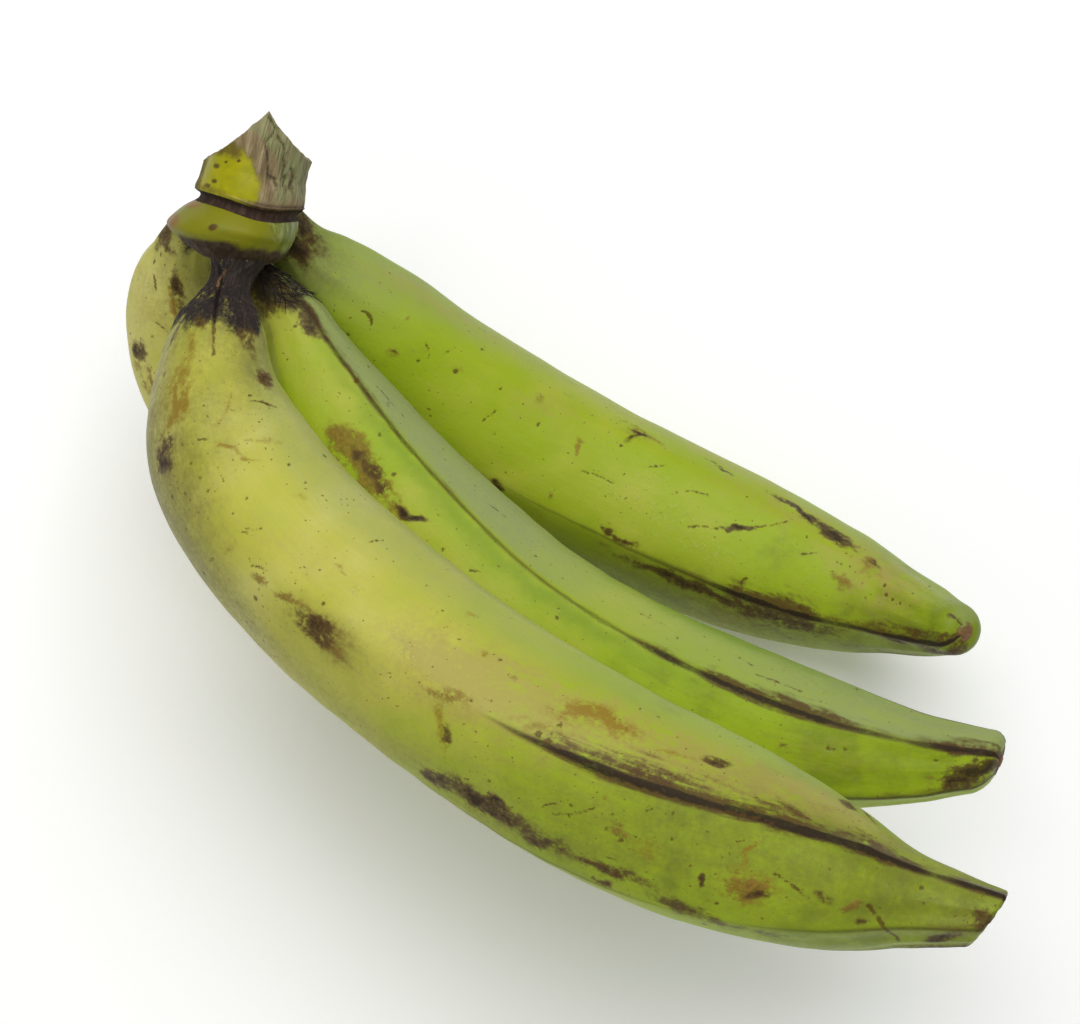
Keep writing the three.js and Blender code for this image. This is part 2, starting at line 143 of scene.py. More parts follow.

# Marks on the peel, for each finger and kind: place along the finger, place round it from the main ridge,
# length, width, lean of the long side from the finger's length, strength. Stain is sap gone black, scuff
# cork, ochre a sap streak, tan dried peel, dusk painted shade, a deeper green where a facet lies in shade,
# shade olive smudges together with painted shade on lower sides, edges and tips, wax flakes with a painted
# glint, frost dull bloom with a painted sheen, and flesh what shows in a split. A nick is a thin healed
# scratch, and its last number is how far it bows. A dot is a place along, a place round and a diameter.
MARKS = {
    "finger_front": {
        "stain": [
            (29, -4, 7, 6, 50, 0.9), (27, 54, 14, 7, -3, 1), (36, 57, 12, 5, 4, 0.3),
            (49, 67, 10, 5, -14, 0.7), (33, -40, 15, 3, -12, 0.5), (63, -22, 6, 5, -10, 0.7),
            (66, -33, 6, 8, -48, 0.9), (93, -33, 3.5, 1.4, 51, 0.6), (128, -12, 13, 8, 4, 0.6),
            (128, -12, 5, 4, 0, 0.6), (171, -22, 5.5, 3, -62, 0.9), (171, -58, 7, 5, 33, 0.9),
            (187, -54, 25, 6, 0, 0.95), (189, -48, 4, 4, 12, 0.9), (203, -60, 10, 4, 10, 0.8),
            (221, -58, 19, 4, 3, 0.65), (219, -69, 4, 3, 0, 1), (241, -44, 3, 1.8, 67, 1),
            (241, -48, 3.6, 1.6, -71, 1), (233, 32, 6.5, 3.2, 13, 0.95), (267, 58, 6, 5, 6, 0.75),
            (274, 60, 8, 3, -40, 0.5), (254, -50, 7, 2.6, 6, 0.75), (269, -45, 5.5, 2.4, -13, 0.7),
            (306, -47, 6, 7, 28, 0.75), (300, -100, 7, 5, -10, 1), (279, -66, 3, 2.4, 0, 0.7),
            (253, -78, 28, 4, -12, 0.5), (62, 56, 9, 1.4, 57, 0.7), (236, -66, 16, 3, 0, 0.5),
            (196, 6, 10, 3, 0, 0.4), (221, 5, 18, 6, 0, 0.5),
        ],
        "flesh": [(16, 0, 7, 1.3, 15, 0.8)],
        "scuff": [
            (108, -12, 5, 3.4, 32, 0.8), (130, -12, 24, 13, 0, 0.62), (166, 0, 14, 6, 4, 0.7),
            (176, 27, 5, 2.4, -23, 0.6), (219, -32, 9, 6, -27, 0.55), (251, -45, 14, 8, -3, 0.75),
            (275, -53, 7, 3, 32, 0.8), (49, 66, 8, 5, -14, 0.6), (187, -52, 34, 11, 0, 0.5),
            (222, -58, 26, 8, 3, 0.5), (190, 8, 22, 6, 8, 0.45), (232, 14, 26, 8, 4, 0.4),
            (63, -28, 14, 10, 0, 0.5), (262, 30, 18, 5, 20, 0.45), (116, -9, 12, 1.4, 16, 0.7),
        ],
        "ochre": [
            (36, -11, 9, 3, 18, 0.5), (51, -6, 19, 3.2, 5, 0.9), (52, -17, 13, 2.4, 0, 0.9),
            (55, -9, 14, 2.4, -35, 0.8), (60, 30, 17, 1.6, -30, 0.6), (65, 18, 6, 1.4, -29, 0.5),
            (74, 18, 8, 1.3, 35, 0.8), (80, 28, 8, 1.3, 44, 0.8), (75, 36, 7, 1.2, 71, 0.5),
            (78, 48, 8, 4, 50, 0.6), (87, 34, 6, 1.2, 50, 0.5), (100, 41, 6, 5, 55, 0.5),
            (96, -14, 6, 5, -46, 0.55), (123, 25, 5, 0.9, 9, 0.7), (156, 49, 6, 3, -14, 0.6),
            (169, -21, 17, 3.4, -57, 0.8), (168, 32, 2.4, 2.4, 0, 0.9), (197, 28, 10, 4.4, 24, 0.85),
            (205, 30, 13, 4.4, -11, 0.9), (222, 24, 10, 2, 9, 0.8), (213, -14, 4.4, 1.2, -73, 0.7),
            (249, -20, 8, 1.6, -90, 0.9), (249, -45, 5, 3, -70, 0.8), (278, -21, 6, 2, -79, 0.5),
            (42, 8, 18, 9, 0, 0.3), (40, 36, 20, 8, 0, 0.25), (56, -30, 44, 24, 10, 0.42),
            (252, -44, 18, 11, 0, 0.75), (200, 26, 34, 13, 8, 0.5), (226, -36, 12, 7, 0, 0.5),
        ],
        "tan": [
            (182, 18, 66, 22, 6, 0.95), (166, 14, 30, 16, 0, 0.6), (228, 26, 50, 15, 4, 0.6),
            (262, 40, 30, 12, 10, 0.5), (252, 26, 90, 18, 3, 0.6), (100, 5, 70, 18, 20, 0.3),
            (60, -60, 60, 16, 0, 0.5),
        ],
        # Olive smudges, and painted shade on the lower side, the lower-left edge and the tip.
        "shade": [
            (75, -2, 24, 24, -20, 0.4), (71, -22, 26, 16, -20, 0.6), (80, -45, 60, 10, 0, 0.7),
            (92, -24, 22, 12, 0, 0.3), (196, -60, 50, 9, 0, 0.5), (232, 0, 60, 30, 0, 0.25),
            (215, -30, 90, 40, 0, 0.5), (262, -24, 60, 40, 0, 0.5), (294, -30, 44, 40, 0, 0.5),
            (74, -64, 70, 28, 0, 0.85), (132, -11, 28, 14, 4, 0.8), (54, 4, 50, 56, 0, 0.5),
            (146, -58, 130, 26, 0, 0.5), (312, -30, 34, 60, 0, 0.7), (40, 60, 30, 14, 0, 0.75),
            (31, 14, 12, 44, 0, 0.6),
        ],
        # Painted glints on flakes of wax.
        "wax_glint": [(130, 22, 5, 2.6, -25, 0.8), (145, 15, 8, 3.6, -24, 0.8), (151, 9, 5, 2.4, -26, 0.8)],
        "nick": [
            (68, 7, 2.6, 0.5, 67, 0), (97, 1, 2.6, 0.25, 33, 0.2), (98, 7, 4.5, 0.25, 47, -0.3),
            (123, 54, 3.8, 0.3, 58, 0), (106, -8, 4.6, 0.5, 26, 0.4), (201, -32, 4, 0.4, 40, 0.2),
            (207, -29, 11.3, 0.4, 35, -0.8), (219, -50, 3.1, 0.3, 0, 0), (245, -2, 14.4, 0.5, 3, 0.3),
            (261, -39, 10.6, 0.5, -29, 0.3), (284, -72, 15.6, 0.8, -54, 0.4), (62, 57, 8, 0.4, 57, 0.3),
            (15, -17, 6, 1.2, 22, 0), (21, 2, 8, 1.2, 18, 0), (32.5, 13.5, 16, 0.8, 8, 0),
        ],
        "dot": [
            (66, -9, 0.9), (72, -6, 0.9), (77, -4, 0.8), (81, -3, 0.9), (83, -18, 0.9), (74, -36, 1.1),
            (77, -21, 1.1), (82, -38, 0.9), (90, 15, 0.9), (92, 18, 0.7), (96, 51, 0.9), (98, 48, 0.8),
            (89, 80, 1.6), (91, -54, 1.3), (109, -18, 0.9), (109, -26, 1.4), (126, 3, 0.9), (142, 51, 0.9),
            (171, 34, 0.9), (172, 4, 0.9), (176, 9, 0.8), (191, 4, 1.7), (194, 3, 1.9), (194, 14, 1.3),
            (208, 49, 0.8), (213, 49, 0.9), (206, -26, 1.1), (185, -36, 1.1), (186, -44, 1.1),
            (220, -36, 1.3), (216, -32, 1), (219, -27, 0.8), (223, -31, 0.8), (223, -14, 0.6),
            (224, -12, 0.6), (229, -11, 0.8), (290, -18, 0.9), (300, -51, 0.8), (302, -49, 0.7),
            (150, 40, 0.8),
        ],
    },
    "finger_middle": {
        "stain": [
            (13, -36, 16, 10, 30, 1), (18, -10, 14, 6, 10, 1), (26, -9, 14, 3.4, 7, 0.9),
            (76, -30, 8, 4, 19, 0.75), (70, -34, 5, 3, 60, 0.5), (82, -33, 6, 3, 10, 0.6),
            (92, -32, 5, 2.2, 9, 1), (96, -28, 6, 1.6, 49, 1), (265, -51, 8, 5, 10, 0.8),
            (270, -38, 10, 7, 12, 1), (266, 3, 14, 2.4, 4, 0.8), (221, -28, 3, 1.6, 0, 0.7),
            (6, 30, 16, 16, 0, 1), (8, -90, 16, 14, 0, 1),
        ],
        "scuff": [
            (63, -37, 10, 9, 25, 1), (75, -35, 22, 9, 3, 1), (90, -33, 12, 4, 0, 0.75),
            (221, -29, 6, 4, -27, 0.6), (242, 28, 6, 2, 5, 0.6), (230, 37, 12, 1.4, 5, 0.5),
            (263, -44, 14, 9, 10, 0.6), (28, -20, 12, 6, 0, 0.4), (210, 16, 26, 3, 0, 0.4),
            (212, -10, 26, 3, 0, 0.35),
        ],
        "ochre": [(60, -38, 14, 10, 20, 0.5), (214, -24, 12, 6, 0, 0.35)],
        "tan": [(232, -32, 40, 12, 0, 0.35), (40, -48, 30, 14, 0, 0.3)],
        # Painted shade: a deeper green beside the main ridge and on the far facet, where little light
        # reaches.
        "painted_shade": [(84, -7, 120, 5, 0, 0.5), (158, -7, 70, 5, 0, 0.45), (190, 66, 90, 14, 0, 0.8)],
        "shade": [(250, -44, 26, 12, 0, 0.3)],
        "nick": [
            (26, -35, 2.5, 0.4, -68, 0.2), (215, 21, 13.7, 0.4, 2, 0.2), (60, 20, 14, 0.3, 4, 0.3),
            (110, 24, 8, 0.3, 12, 0), (172, 26, 10, 0.3, 5, 0.2), (203, 30, 6, 0.3, -14, 0),
            (120, -24, 3, 0.3, 30, 0),
        ],
        "dot": [
            (68, -11, 1), (49, 0, 1.6), (81, -20, 1.4), (234, -22, 0.8), (237, -21, 0.7), (148, -14, 1),
            (86, 24, 0.8), (100, 22, 0.8), (260, -20, 0.8), (130, 14, 0.8), (160, -30, 0.7), (182, 20, 0.9),
            (60, 16, 0.8),
        ],
    },
    "finger_back": {
        "stain": [
            (4, 72, 14, 12, 0, 1), (5, 102, 18, 12, 0, 1), (13, 60, 9, 4, -23, 0.7),
            (139, 79, 9, 2.6, 0, 0.8), (139, 74, 8, 2.6, 60, 0.7), (170, 87, 12, 1.6, -3, 0.8),
            (203, 88, 24, 3.4, -1, 1), (217, 85, 14, 5, 8, 1), (187, 46, 12, 1.8, 24, 0.9),
            (145, 4, 9, 1.8, -16, 0.7), (153, 3, 10, 1.8, -4, 0.7), (106, -3, 5, 3.4, -8, 0.95),
            (251, -4, 8, 3.6, -4, 1), (265, -32, 14, 7, -19, 1), (271, 86, 4, 1.4, 80, 0.8),
            (272, 50, 4, 1.2, 80, 0.7), (233, 88, 5, 2.4, -10, 0.6), (52, 42, 4, 2, 0, 0.4),
            (180, -9, 60, 5, 0, 0.7), (214, -14, 34, 7, 3, 0.6),
        ],
        "scuff": [
            (52, 42, 7, 4, -5, 0.55), (49, 75, 4, 1.6, 73, 0.6), (101, 69, 7, 4.6, -7, 0.55),
            (139, 77, 16, 7, 0, 0.6), (232, 86, 8, 5, -10, 0.7), (228, 45, 13, 4, 8, 0.55),
            (122, 10, 4.6, 2.4, -50, 0.7), (136, 84, 26, 3, -8, 0.5), (205, 86, 34, 8, 2, 0.5),
            (187, 46, 18, 5, 24, 0.4), (148, 5, 24, 5, -8, 0.5), (235, 70, 12, 5, 0, 0.45),
            (112, 84, 14, 4, 0, 0.4), (190, -22, 70, 14, 0, 0.4),
        ],
        "ochre": [
            (122, 47, 8, 2.6, -69, 0.9), (122, 54, 5, 3, 0, 0.6), (72, 58, 4, 3, 0, 0.5),
            (106, 62, 14, 5, 30, 0.3), (228, 44, 12, 6, 8, 0.35),
        ],
        "tan": [
            (60, 112, 70, 12, 0, 0.5), (160, 104, 90, 12, 0, 0.4), (190, 74, 70, 12, 0, 0.4),
            (105, 66, 30, 14, 0, 0.4), (240, 60, 40, 20, 0, 0.5), (228, 96, 50, 14, 0, 0.4),
        ],
        # Olive smudges, and painted shade on the lower face.
        "shade": [
            (203, 39, 10, 6, 0, 0.5), (14, 66, 28, 26, 0, 0.8), (185, -30, 120, 34, 0, 0.85),
            (240, -40, 60, 30, 0, 0.4),
        ],
        # Painted glints on flakes of wax.
        "wax_glint": [(158, 34, 34, 6, 2, 0.5), (176, 22, 30, 4, 2, 0.5), (150, 52, 16, 4, 10, 0.4)],
        # Dull bloom with a painted sheen along the top edge by the neck.
        "frost_and_sheen": [(22, 88, 44, 22, 0, 0.6), (12, 58, 26, 12, 0, 0.45), (52, 106, 60, 12, 0, 0.45)],
        "nick": [
            (27, 34, 2.9, 0.5, -18, 0.2), (39, 56, 4.8, 0.8, -19, 0.7), (175, 34, 10.4, 0.4, 17, 0.5),
            (196, 60, 13.2, 0.4, 35, -0.5), (196, 10, 3.1, 0.7, 73, 0.6), (66, 70, 4, 0.3, 60, 0),
            (133, 35, 12, 0.3, 4, 0.5), (150, 60, 7, 0.3, 25, 0), (90, 40, 5, 0.3, 70, 0),
            (168, 55, 9, 0.3, 12, 0.5), (214, 55, 6, 0.3, 30, 0), (60, 60, 5, 0.3, -40, 0.3),
        ],
        "dot": [
            (76, 87, 1.3), (72, 58, 1.6), (106, 51, 1.2), (161, 49, 0.9), (244, 57, 1.3), (247, 55, 0.9),
            (120, 66, 0.7), (210, 66, 0.8), (88, 62, 0.7), (184, 70, 0.8), (225, 62, 0.9), (95, 30, 0.7),
            (60, 48, 0.8), (238, 40, 0.9),
        ],
    },
    "finger_under": {
        "stain": [
            (41, -57, 5, 6, 52, 1), (11, -35, 6, 3, -79, 0.6), (20, 9, 10, 2.8, 0, 1), (9, -70, 8, 7, 0, 0.8),
            (56, -52, 6, 3, 0, 0.5),
        ],
        "scuff": [
            (47, -56, 7, 10, 29, 0.6), (54, -57, 10, 7, -5, 0.7), (62, -50, 12, 6, 0, 0.6),
            (10, -50, 8, 8, 0, 0.5),
        ],
        "ochre": [(23, -1, 13, 3, -6, 0.95), (24, 3, 8, 2, 0, 0.6)],
        "tan": [(26, -30, 50, 34, 0, 0.4)],
        # Painted shade where the finger runs under the crown, and an olive smudge.
        "shade": [(10, -60, 8, 8, 0, 0.7), (24, 20, 50, 26, 0, 0.6)],
        "nick": [(21, -29, 3.3, 0.6, 36, 0.2), (33, -20, 5, 0.3, 50, 0.4)],
        "dot": [
            (12, -30, 0.8), (14, -38, 0.7), (17, -46, 0.8), (28, -12, 0.7), (36, -34, 0.7), (44, -30, 0.8),
        ],
    },
}

# The crown: a chunk of stalk in two tiers with a groove between them. Its own frame has Z along the
# chunk, X across it and Y to the back. Each level: height, half width, half depth, middle in X and Y.
CROWN = {
    "place": [-82.5, 86.5, 14.5],
    "lean": 59, "roll": 13, "yaw": 6.3,
    "squareness": 2.4,
    "levels": [[-14.2, 7, 8, -3, -11], [-12.8, 10.5, 12.5, -2.9, -9.5], [-10.8, 14.4, 18, -3.4, -6],
               [-9, 16.6, 22, -4.3, -3.6], [-7.4, 17.3, 24.5, -4.3, -2], [-4.8, 17, 26, -3.2, -1],
               [-2, 16, 25.5, -2, 0], [0, 14.6, 24, -1, 0], [0.9, 13.8, 23, -0.8, 0],
               [2.4, 13.9, 23, -0.5, 0], [3.4, 15.4, 24, -0.8, 0], [7, 15.2, 24.3, -0.3, 0],
               [11, 14.6, 23.6, -0.7, 0]],
    "peak": [-0.3, 28.4],
    "corners": [[-15.3, 11.4], [13.7, 17.8]],
    "scoops": [1, 1],
}

# The camera looks along +Y from this high, at this distance from the spines' own origin.
CAMERA = {"elevation": 66, "distance": 700, "lens": 85, "sensor": 36}

SOFT = {"interpolation_type": "SMOOTHSTEP"}
TIMES = {"operation": "MULTIPLY"}
TIMES_PLUS = {"operation": "MULTIPLY_ADD"}


def linear(hex_colour):
    """An sRGB hex value as linear red, green, blue and a full alpha."""
    srgb = np.array([int(hex_colour[i : i + 2], 16) / 255 for i in (0, 2, 4)])
    return (*np.where(srgb <= 0.04045, srgb / 12.92, ((srgb + 0.055) / 1.055) ** 2.4), 1.0)


def colour(words, hex_colour):
    """A colour that a user can change."""
    return FloatVectorProperty(name=words, description=f"{words}, as a colour", subtype="COLOR", size=4,
                               min=0, max=1, default=linear(hex_colour))


class HandSizes(bpy.types.PropertyGroup):
    """Sizes of the hand's fine relief, in millimetres, and how finely it is made."""

    rows: IntProperty(name="Rows", description="Rings of points along a finger", default=440, min=40)
    sides: IntProperty(name="Sides", description="Points round a finger", default=210, min=20)
    crest: FloatProperty(name="Crest", description="Height of the bead on a worn ridge, in mm", default=0.5)
    swell: FloatProperty(name="Swell", description="Height of the peel's slow bumps, in mm", default=0.3)
    fibre: FloatProperty(name="Fibre", description="Depth of the furrows in a dry neck, in mm", default=0.28)
    strands: IntProperty(name="Strands", description="Loose fibres at the neck", default=170, min=0)


class PeelColours(bpy.types.PropertyGroup):
    """Colours of the peel."""

    green: colour("Green peel", "9ab01a")
    deep: colour("Deep green peel", "7c8e18")
    yellow: colour("Yellow peel", "bab848")
    # Pale peel, also used as a painted highlight on the brightest yellow clouds.
    pale: colour("Bleached peel", "d2cc80")
    # Dull bloom, also used for painted sheen on the facets that face the light.
    bloom: colour("Dull bloom", "929e60")
    tan: colour("Tan, dried peel", "a99c50")
    ochre: colour("Ochre sap streak", "8a6c18")
    scuff: colour("Corky scuff", "6a501c")
    # Olive smudges, also used for painted shade on lower sides, edges and tips.
    shade: colour("Olive smudge", "6a6530")
    stain: colour("Bruised sap stain", "543c1c")
    black: colour("Blackened crest", "271c12")
    neck: colour("Dry neck", "2b2320")


class CrownColours(bpy.types.PropertyGroup):
    """Colours of the crown."""

    skin: colour("Stalk skin", "a59f08")
    collar: colour("Collar skin", "827f14")
    bark: colour("Dried, wrinkled skin", "93815f")
    grey: colour("Grey-green skin", "8b8d60")
    ochre: colour("Ochre lip", "85561c")
    groove: colour("Sap-stained groove", "35271f")


class StageSettings(bpy.types.PropertyGroup):
    """The floor and the light."""

    floor: colour("Floor", "fafafa")
    key: FloatProperty(name="Key light", description="Power of the large soft light", default=13.1,
                       unit="POWER")
    fill: FloatProperty(name="Fill light", description="Power of the light by the camera", default=2.5,
                        unit="POWER")
    sky: FloatProperty(name="Sky", description="Strength of the even light all round", default=0.27)


# Numbers, curves and fields


def smoothstep(low, high, x):
    """0 below low, 1 above high, and 3t^2 - 2t^3 of the share t of the way between them."""
    t = np.clip((x - low) / (high - low), 0, 1)
    return t * t * (3 - 2 * t)


def bell(x, width):
    """1 at zero, and e to the minus (x / width) squared away from it."""
    return np.exp(-((x / width) ** 2))


def smooth(table, x):
    """Column 1 of the table over column 0, as a cubic through the points. The slope at each point is
    that of the line between its neighbours."""
    at, value = np.array(table, float).T[:2]
    last = len(at) - 1
    low = np.maximum(np.arange(last + 1) - 1, 0)
    high = np.minimum(np.arange(last + 1) + 1, last)
    slope = (value[high] - value[low]) / (at[high] - at[low])
    k = np.clip(np.searchsorted(at, x, side="right") - 1, 0, last - 1)
    h = at[k + 1] - at[k]
    u = (x - at[k]) / h
    return (value[k] * (1 + 2 * u) * (1 - u) ** 2 + value[k + 1] * u**2 * (3 - 2 * u)
            + h * slope[k] * u * (1 - u) ** 2 - h * slope[k + 1] * u**2 * (1 - u))


def straight_through(table, x):
    """Column 1 of the table over column 0, in straight lines from point to point."""
    return np.interp(x, *np.array(table, float).T)


def unit(vectors):
    """The same ways, each of length one."""
    return vectors / np.linalg.norm(vectors, axis=-1, keepdims=True)


def bezier(points, t):
    """Each control point weighed by its Bernstein polynomial of t."""
    n = len(points) - 1
    weights = [math.comb(n, i) * (1 - t) ** (n - i) * t**i for i in range(n + 1)]
    return np.stack(weights, axis=-1) @ points


def ripple(points, size, seed, waves=28):
    """A smooth uneven field over points in space: the sum of plane waves of about that length, each
    with a way and a phase of its own, scaled so that most values lie between -1 and 1."""
    draw = np.random.default_rng(seed)
    ways = draw.normal(size=(waves, 3))
    ways *= (2 * np.pi / (size * draw.uniform(0.75, 1.6, waves) * np.linalg.norm(ways, axis=1)))[:, None]
    phases = draw.uniform(0, 2 * np.pi, waves)
    return np.sin(points @ ways.T + phases).sum(-1) / np.sqrt(2 * waves)


def wrapped(degrees):
    """The same angle between -180 and 180."""
    return (degrees + 180) % 360 - 180


# The fingers


def spine_frames(finger, share):
    """Centre, tangent, way out and way to the side at each share of the spine's length, and that length.
    The centre is a Bezier curve, drawn aside at the neck by the pull times one minus a smooth step. The
    way out is FACE made square to the tangent, and the side way is out x tangent."""
    *aside, reach = finger["pull"]
    curve = bezier(np.array(finger["spine"], float) - ORIGIN, np.linspace(0, 1, SPINE_STEPS + 1))
    reached = np.concatenate([[0], np.cumsum(np.linalg.norm(np.diff(curve, axis=0), axis=1))])
    whole = reached / reached[-1]
    curve += np.array(aside) * (1 - smoothstep(0, reach, whole))[:, None]
    along = np.gradient(curve, whole, axis=0)
    centre = np.stack([np.interp(share, whole, column) for column in curve.T], axis=-1)
    tangent = unit(np.stack([np.interp(share, whole, column) for column in along.T], axis=-1))
    out = unit(FACE - tangent * (tangent @ FACE)[..., None])
    return centre, tangent, out, np.cross(out, tangent), reached[-1]


def from_ridge(around):
    """Degrees from the nearest ridge crest, at most half a facet, and that ridge's number."""
    ridge = np.round(around / RIDGE_STEP)
    return around - ridge * RIDGE_STEP, ridge.astype(int) % RIDGES


def section(finger, share, around):
    """Radius at a share of the length and an angle from the main ridge: the girth, times a mix of a
    circle and a regular pentagon whose corners are rounded over a few degrees."""
    rounding = 5
    edge = finger["edge"][0] + (finger["edge"][1] - finger["edge"][0]) * share
    off, _ = from_ridge(around)
    half = RIDGE_STEP / 2
    facet = np.radians(half - (np.hypot(off, rounding) - rounding * 0.55))
    pentagon = np.cos(np.radians(half)) / np.cos(facet)
    return smooth(finger["girth"], share) * (1 + RIDGE_FULLNESS * edge) * (1 - edge + edge * pentagon)


def scattered_marks(name):
    """Small marks of the kind that a hand gets on its way, scattered over a whole finger, and some
    larger ones on the side that it lies on."""
    draw = np.random.default_rng(sum(map(ord, name)))
    turn = FINGERS[name]["turn"][0]
    marks = {"stain": [], "scuff": [], "nick": [], "dot": []}
    for _ in range(34):
        marks["dot"].append((draw.uniform(35, 255), draw.uniform(-180, 180), draw.uniform(0.5, 1)))
    for _ in range(12):
        lean, bow = draw.uniform(-70, 70), draw.uniform(-0.4, 0.4)
        place, turned = draw.uniform(40, 250), draw.uniform(100, 260) - turn
        marks["nick"].append((place, turned, draw.uniform(2, 8), 0.3, lean, bow))
    for _ in range(11):
        place, turned = draw.uniform(50, 250), draw.uniform(105, 255) - turn
        shape = draw.uniform(8, 34), draw.uniform(4, 10), draw.uniform(-25, 25)
        marks["scuff"].append((place, turned, *shape, 0.7))
        marks["stain"].append((place + 2, turned, draw.uniform(3, 12), draw.uniform(2, 4), 0, 0.8))
    return marks


def mark_fields(name, along, around, radius, straight):
    """The fields that the marks make. A patch is a bell over an oval on the unrolled peel, drawn out of
    shape by a slow and a quick ripple. The nick field is the distance to the nearest nick or dot, in mm,
    less that one's own half width."""
    drift = [ripple(straight, 9, seed) + 0.5 * ripple(straight, 3, seed + 1) for seed in (31, 33)]
    kinds = ("stain", "scuff", "ochre", "tan", "painted_shade", "shade", "wax_glint", "flesh", "frost_and_sheen")
    fields = {kind: np.zeros_like(radius) for kind in kinds}
    nick = np.full_like(radius, NICK_FAR)
    for marks in (MARKS[name], scattered_marks(name)):
        for kind, rows in marks.items():
            for place, turned, *shape in rows:
                u = along - place
                v = np.radians(wrapped(around - turned)) * radius
                if kind not in ("dot", "nick"):
                    u, v = u + drift[0], v + drift[1]
                if kind == "dot":
                    nick = np.minimum(nick, np.hypot(u, v) - shape[0] / 2)
                    continue
                length, width, lean, strength = shape
                c, s = np.cos(np.radians(lean)), np.sin(np.radians(lean))
                p, q = u * c + v * s, v * c - u * s
                if kind == "nick":
                    bowed = q - strength * (1 - (2 * p / length) ** 2)
                    beyond = np.maximum(np.abs(p) - length / 2, 0)
                    nick = np.minimum(nick, np.hypot(beyond, bowed) - width / 2)
                else:
                    patch = strength * bell(np.hypot(2 * p / length, 2 * q / width), 1.1)
                    fields[kind] = 1 - (1 - fields[kind]) * (1 - patch)
    fields["nick"] = nick
    return fields


def ridge_wear(finger, share, ridge):
    """How worn the nearest ridge's crest is at each point."""
    wear = np.zeros_like(share)
    for number, table in finger["wear"].items():
        wear = np.where(ridge == number, straight_through(table, share), wear)
    return wear


def finger_surface(name, share, around, sizes):
    """For arrays of shares of the length and of degrees from the main ridge: the spine's centre and
    tangent there, the way out from it, how far out the peel is, how much it leans, its place on the
    straightened finger, and the fields on it."""
    finger = FINGERS[name]
    share, around = np.broadcast_arrays(share, around)
    centre, tangent, out, side, length = spine_frames(finger, share)
    along = share * length
    radius = section(finger, share, around)
    off, ridge = from_ridge(around)
    crest = np.abs(np.radians(off)) * radius
    wear = ridge_wear(finger, share, ridge)
    angle = np.radians(around)
    straight = np.stack([np.cos(angle) * radius, np.sin(angle) * radius, along], axis=-1)
    seed = sum(map(ord, name))
    swell = ripple(straight, 34, seed) + 0.35 * ripple(straight, 12, seed + 1)
    drawn_out = straight * [1, 1, 0.16]
    fields = mark_fields(name, along, around, radius, straight)
    # The dry neck ends in uneven tongues.
    tongues = 4.5 * ripple(straight * [1, 1, 0.1], 8, seed + 2)
    neck = 1 - smoothstep(-5, 5, along - finger["neck"] - tongues)
    furrows = ripple(drawn_out, 2.6, seed + 3) + 0.6 * ripple(drawn_out, 1.5, seed + 4)
    # Bloom, with painted sheen, lies round the finger from start to end.
    start, end, border = finger["bloom_and_sheen_side"]
    half = (end - start) / 2
    bloom_and_sheen_side = 1 - smoothstep(half - border, half + border, np.abs(wrapped(around - (start + end) / 2)))
    # Beside a ridge near either end, the facets are a little hollow.
    hollow = 0.5 * smoothstep(0.8, 0.95, share) + 0.25 * (1 - smoothstep(0.08, 0.2, share))
    beside = bell(crest - 4, 3.2) * np.sin(np.pi * np.clip(np.abs(off) / RIDGE_STEP * 2, 0, 1))
    # Slow bumps, the bead of a worn crest, the hollows, the furrows of the neck, sunk stains, raised cork
    # and nicks, in mm.
    ends = smoothstep(0, 0.05, share)
    relief = (sizes.swell * swell * ends
              + sizes.crest * bell(crest, 1.7) * wear * smoothstep(0.05, 0.15, share)
              - hollow * beside + sizes.fibre * furrows * neck * ends
              - 0.1 * fields["stain"] * ends + 0.08 * fields["scuff"]
              - 0.1 * (1 - smoothstep(-0.2, 0.6, fields["nick"])) * (1 + 5 * neck))
    turn = finger["turn"]
    turned = np.radians(turn[0] + turn[1] * share + turn[2] * share**2) + angle
    fields.update(
        crest=crest, side=np.sin(np.pi * off / (RIDGE_STEP / 2)), wear=wear, neck=neck,
        bloom=np.maximum(bloom_and_sheen_side * straight_through(finger["dust_and_sheen"], share), fields.pop("frost_and_sheen")),
        yellow=straight_through(finger["yellow"], share) + 0.12 * swell,
    )
    way = out * np.cos(turned)[..., None] + side * np.sin(turned)[..., None]
    lean = np.tan(np.radians(finger["slant"])) * smoothstep(LEAN_FROM, 1, share) * np.sin(turned)
    return centre, tangent, way, radius + relief, lean, straight, fields


